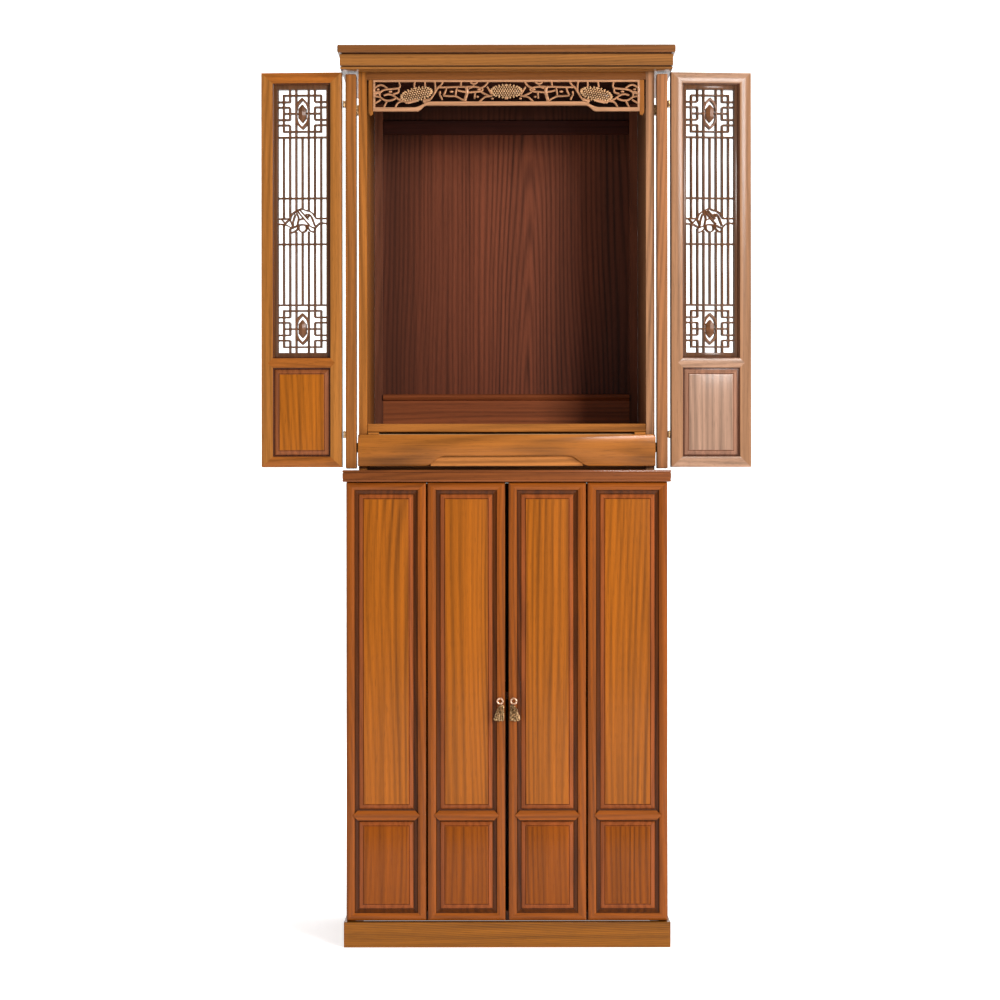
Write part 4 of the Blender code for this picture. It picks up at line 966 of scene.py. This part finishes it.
def chrysanthemum(name, across, up, turn):
    """Flower head 62 by 26 mm: a dome, rows of small petals on it, and longer petals round its rim."""
    centre = Matrix.Translation((across / 1000, low.y + 0.0050, up / 1000))
    lean = Matrix.Rotation(math.radians(turn), 4, "Y")
    dome = knob("flower_dome", (0.0, 0.0, 0.0), (0.056, 0.0060, 0.0225), flower_dome_shade, 8)
    seed = knob("flower_seed", (0.0, 0.0, 0.0), (0.0034, 0.0030, 0.0029), petal_wood, 5)
    petals = [dome]
    for row in range(-3, 4):
        for place in range(-8, 9):
            x = (place + (row % 2) * 0.5) * PETAL_STEP[0]
            z = row * PETAL_STEP[1]
            share = abs(x / DOME_REACH[0]) ** 2.5 + abs(z / DOME_REACH[1]) ** 2.5
            if share < 1.0:
                y = -3.0 * math.sqrt(1.0 - share * 0.86) - 0.9
                petals.append(twin(seed, "seed", (x / 1000, y / 1000, z / 1000)))
    for step in range(RIM_PETALS):
        angle = math.tau * (step + 0.5) / RIM_PETALS
        x, z = RIM_REACH[0] * math.cos(angle), RIM_REACH[1] * math.sin(angle)
        way = math.degrees(math.atan2(z * 2.2, x))
        tip = twin(seed, "rim_petal", (0.0, 0.0, 0.0))
        tip.data.transform(Matrix.Translation((x / 1000, -0.0006, z / 1000))
                           @ Matrix.Rotation(-math.radians(way), 4, "Y")
                           @ Matrix.Diagonal(RIM_STRETCH))
        petals.append(tip)
    bpy.data.objects.remove(seed)
    flower = join(name, petals)
    flower.data.transform(centre @ lean)
    return flower


# Each flower's name, distance from the middle and below the head in millimetres, and lean in degrees
FLOWERS = (("flower_middle", 0.0, 20.8, 0.0), ("flower_left", -167.0, 26.3, -12.0),
           ("flower_right", 167.0, 26.3, 12.0))
flowers = [chrysanthemum(name, across, head - down, lean) for name, across, down, lean in FLOWERS]
carving = join("pierced_valance", [dress(band, valance_wood), vines_left, vines_right, *flowers])
settle(smooth(carving, 40.0), "honey_wood", "cabinet", "carved_valance")


# Altar leaves
# Four leaves in two folding pairs, each a mitred frame around a low raised panel and a tall lattice.
# They are made here as they lie when shut, and then swung and folded open on the built hinges.
def hinged(joint_name):
    """Turn about a joint's axis at rest, through its whole range."""
    joint = joints[joint_name]
    spread = joint["range_deg"][1] - joint["range_deg"][0]
    pivot = Matrix.Translation(joint["pos_m"])
    turn = Matrix.Rotation(math.radians(spread), 4, Vector(joint["axis"]))
    return pivot @ turn @ pivot.inverted()


def shut_box(name, opened):
    """Corners of a built piece as it lies when the leaves are shut."""
    back = opened.inverted()
    points = [back @ vert.co for vert in nodes[name].data.vertices]
    low = Vector(min(point[axis] for point in points) for axis in range(3))
    high = Vector(max(point[axis] for point in points) for axis in range(3))
    return low, high


LEAF_SECTION = ((0.0, 1.4), (0.8, 0.4), (2.2, 0.0), (19.4, 0.0), (20.6, 0.35), (21.3, 1.3), (21.6, 5.4),
                (23.0, 6.0))
LEAF_BAR_SECTION = ((0.0, 6.0), (1.3, 5.4), (1.6, 1.3), (2.3, 0.35), (3.5, 0.0), (17.7, 0.0), (18.9, 0.35),
                    (19.6, 1.3), (19.9, 5.4), (21.2, 6.0))
PITCH = 11.6
BAR = 1.5
BORDER = (6.5, 8.5)

# Heights in millimetres from the middle of the lattice, and for the block and its tabs from its own
BLOCK_LEVEL = 199.85
BLOCK_REACH = 33.6
TAB_FAR = 21.5
TAB_NEAR = 11.6
BLOCK_RAIL = 155.6
FLOWER_RAIL = 42.6

# Tip, half width and shoulder of the ring in a block, for its outer and its inner line
POINTED_RING = ((0.0299, 0.0130, 0.0265), (0.0245, 0.0104, 0.0210))
LOZENGE = (0.0086, 0.0034, 0.0175)

# The flower takes the place of each bar from a foot to a head. Its strokes are places on a drawing.
FLOWER_GAPS = ((-3, -5.2, 4.7), (-2, -13.3, 4.7), (-1, -18.9, 19.3), (0, -21.1, 23.2), (1, -18.9, 19.3),
               (2, -12.1, 8.1))
FLOWER_MIDDLE = (778, 682)
FLOWER_PITCH = 103.3
FLOWER_STROKES = (
    ((380, 640), (560, 640)), ((380, 728), (470, 728), (530, 750), (600, 795)), ((430, 645), (490, 720)),
    ((490, 715), (530, 670), (565, 655)), ((560, 640), (590, 700), (617, 755), (600, 795)),
    ((572, 650), (580, 600), (610, 555), (660, 520), (700, 505), (745, 475), (780, 475)),
    ((660, 560), (640, 620), (615, 700), (617, 750)),
    ((665, 520), (700, 580), (715, 640), (700, 700), (690, 760)),
    ((690, 505), (740, 570), (800, 640), (860, 710), (885, 735)), ((740, 500), (820, 590), (870, 650)),
    ((780, 475), (830, 505), (890, 510), (950, 550), (985, 610), (1010, 640)),
    ((830, 590), (838, 570), (855, 565), (875, 575), (880, 592), (870, 610), (852, 615),
     (835, 607), (830, 590)),
    ((880, 560), (920, 590), (940, 650), (960, 700), (985, 760)), ((1010, 635), (1185, 635)),
    ((985, 790), (1040, 730), (1085, 705), (1185, 720)), ((935, 620), (960, 690), (975, 740)),
    ((600, 795), (650, 770), (690, 755), (720, 745), (770, 735), (830, 745), (870, 750), (900, 755),
     (950, 790), (985, 790)),
    ((575, 800), (600, 795)), ((580, 870), (620, 865), (670, 835), (710, 790), (690, 760)),
    ((715, 745), (710, 800), (730, 840), (780, 870), (830, 840), (850, 800), (830, 750)),
    ((860, 760), (880, 820), (930, 855), (985, 860), (985, 790)), ((730, 660), (760, 635), (800, 640)))
lattice_up = wood("lattice_wood", (100, 64, 40), "Z", figure=0.4)
lattice_carved = wood("lattice_carving_wood", (116, 74, 46), "X", figure=0.4)


def make_lattice(low, high):
    """One lattice as it shows on an open leaf: border, bars, two blocks with a lozenge, and a flower."""
    centre = (low + high) / 2
    half, tall = (high.x - low.x) * 500, (high.z - low.z) * 500
    side, top = half - BORDER[0], tall - BORDER[1]
    parts = []

    def strip(left, right, foot, head, proud=0.0):
        corners = [(centre.x + x / 1000, y, centre.z + z / 1000)
                   for x, y, z in ((left, low.y - proud, foot), (right, high.y + proud, head))]
        parts.append(dress(block("bar", *corners, 0.00035), lattice_up))

    def bar(number, foot, head):
        strip(number * PITCH - BAR, number * PITCH + BAR, foot, head)

    def rail(left, right, height):
        strip(left, right, height - BAR, height + BAR, -0.0004)

    for way in (-1, 1):
        strip(*sorted((way * side, way * half)), -tall, tall, 0.0002)
        strip(-side, side, *sorted((way * top, way * tall)))
        block_mid = way * BLOCK_LEVEL
        foot = way * BLOCK_RAIL
        for number in (-2, -1, 1, 2):
            bar(number, *sorted((block_mid + way * BLOCK_REACH, way * top)))
            bar(number, *sorted((foot, block_mid - way * BLOCK_REACH)))
        for number in (-3, 3, -1, 1):
            bar(number, block_mid - BLOCK_REACH, block_mid + BLOCK_REACH)
        for height in (-BLOCK_REACH, BLOCK_REACH):
            rail(-3 * PITCH - BAR, 3 * PITCH + BAR, block_mid + height)
        rail(-3 * PITCH, -PITCH, block_mid)
        rail(PITCH, 3 * PITCH, block_mid)
        for edge in (-1, 1):
            bar(edge * 2, block_mid + TAB_FAR, block_mid + BLOCK_REACH)
            bar(edge * 2, block_mid - TAB_NEAR, block_mid + TAB_NEAR)
            bar(edge * 2, block_mid - BLOCK_REACH, block_mid - TAB_FAR)
            for height in (-TAB_FAR, -TAB_NEAR, TAB_NEAR, TAB_FAR):
                rail(*sorted((edge * side, edge * 2 * PITCH)), block_mid + height)
        for height in (foot, way * FLOWER_RAIL):
            rail(-side, side, height)
        for number in range(-3, 4):
            bar(number, *sorted((foot, way * FLOWER_RAIL)))
    for number, foot, head in FLOWER_GAPS:
        bar(-number, head, FLOWER_RAIL)
        bar(-number, -FLOWER_RAIL, foot)
    bar(-3, -FLOWER_RAIL, FLOWER_RAIL)

    middle = (low.y + high.y) / 2
    ring = [(math.sin(math.pi * step / 10), math.cos(math.pi * step / 10)) for step in range(1, 10)]
    for way in (-1, 1):
        z = centre.z + way * BLOCK_LEVEL / 1000
        outlines = []
        for tip, wide, shoulder in POINTED_RING:
            right = [(wide * x ** 0.8, shoulder * y) for x, y in ring]
            line = [(0.0, tip), *right, (0.0, -tip), *[(-x, up) for x, up in reversed(right)]]
            outlines.append([(centre.x + x, z + up) for x, up in line])
        parts.append(dress(plate("pointed_ring", outlines, low.y - 0.0001, high.y - low.y + 0.0002, 0.0005),
                           lattice_carved))
        deselect()
        bpy.ops.mesh.primitive_uv_sphere_add(segments=4, ring_count=2, radius=1.0,
                                             location=(centre.x, middle, z))
        lozenge = bpy.context.active_object
        lozenge.scale = LOZENGE
        apply_moves()
        parts.append(dress(lozenge, lattice_carved))
        for edge in (-1, 1):
            rail(*sorted((edge * 8.0, edge * 11.0)), way * BLOCK_LEVEL)

    lines = [[(centre.x * 1000 - (x - FLOWER_MIDDLE[0]) / FLOWER_PITCH * PITCH,
               centre.z * 1000 + (FLOWER_MIDDLE[1] - y) / FLOWER_PITCH * PITCH)
              for x, y in stroke] for stroke in FLOWER_STROKES]
    parts.append(rods("flower_strokes", lines, 1.5, low.y + 0.0002, high.y - low.y - 0.0004, lattice_carved))
    return smooth(join("lattice_pattern", parts), 35.0)


# Stains of the stiles, rails, bevels, painted shade in the hollows, and panels. The right pair is paler and
# pinker than the left one, as a painted sheen of the light from the right.
LEAF_STAINS = {"left": ((162, 101, 42), (160, 91, 32), (150, 84, 44), (84, 40, 20), (166, 92, 18)),
               "right": ((154, 110, 78), (165, 126, 100), (158, 112, 88), (104, 62, 44), (168, 131, 108))}
LEAF_PITHS = {"left": -0.5, "right": 0.5}
pattern = None
for side in ("left", "right"):
    swing = hinged("altar_leaf_" + side + "_swing")
    fold = hinged("altar_leaf_" + side + "_fold")
    stile_stain, rail_stain, bevel_stain, recess_shade_stain, panel_stain = LEAF_STAINS[side]
    shaded_recess = wood("leaf_recess_shade_" + side, recess_shade_stain, "Z")
    upright = (wood("leaf_stile_wood_" + side, stile_stain, "Z", pith=(0.6, 0.1), figure=0.6), shaded_recess)
    level = (wood("leaf_rail_wood_" + side, rail_stain, "X", pith=(0.1, 0.1), figure=0.6), shaded_recess)
    bevel = wood("leaf_bevel_" + side, bevel_stain, "Z", figure=0.6)
    for leaf, opened in (("outer", swing), ("inner", fold @ swing)):
        base = "altar_leaf_" + side + "_" + leaf
        low, high = shut_box(base + "_frame", opened)
        panel_box = shut_box(base + "_panel", opened)
        lattice_box = shut_box(base + "_lattice", opened)
        piece = door_frame("leaf_frame_" + side + "_" + leaf, low, high,
                           fit_openings([panel_box, lattice_box]),
                           (LEAF_SECTION, LEAF_SECTION, LEAF_BAR_SECTION), upright, level)
        piece.data.transform(opened)
        settle(piece, "honey_wood", base, base + "_frame")
        label = "leaf_panel_" + side + "_" + leaf
        material = wood(label, panel_stain, "Z", pith=(LEAF_PITHS[side], 0.2), rise=0.03)
        piece = raised_panel(label, *panel_box, (material, bevel, shaded_recess))
        piece.data.transform(opened)
        settle(piece, "honey_wood", base, base + "_panel")
        if pattern is None:
            pattern = make_lattice(*lattice_box)
            pattern_centre = (lattice_box[0] + lattice_box[1]) / 2
        centre = (lattice_box[0] + lattice_box[1]) / 2
        mirrored = leaf == "inner"
        start = pattern_centre.x * (-1 if mirrored else 1)
        piece = twin(pattern, "lattice_" + side + "_" + leaf, (centre.x - start, 0.0, 0.0), mirrored)
        piece.data.transform(opened)
        settle(piece, "dark_wood", base, base + "_lattice")
bpy.data.objects.remove(pattern)
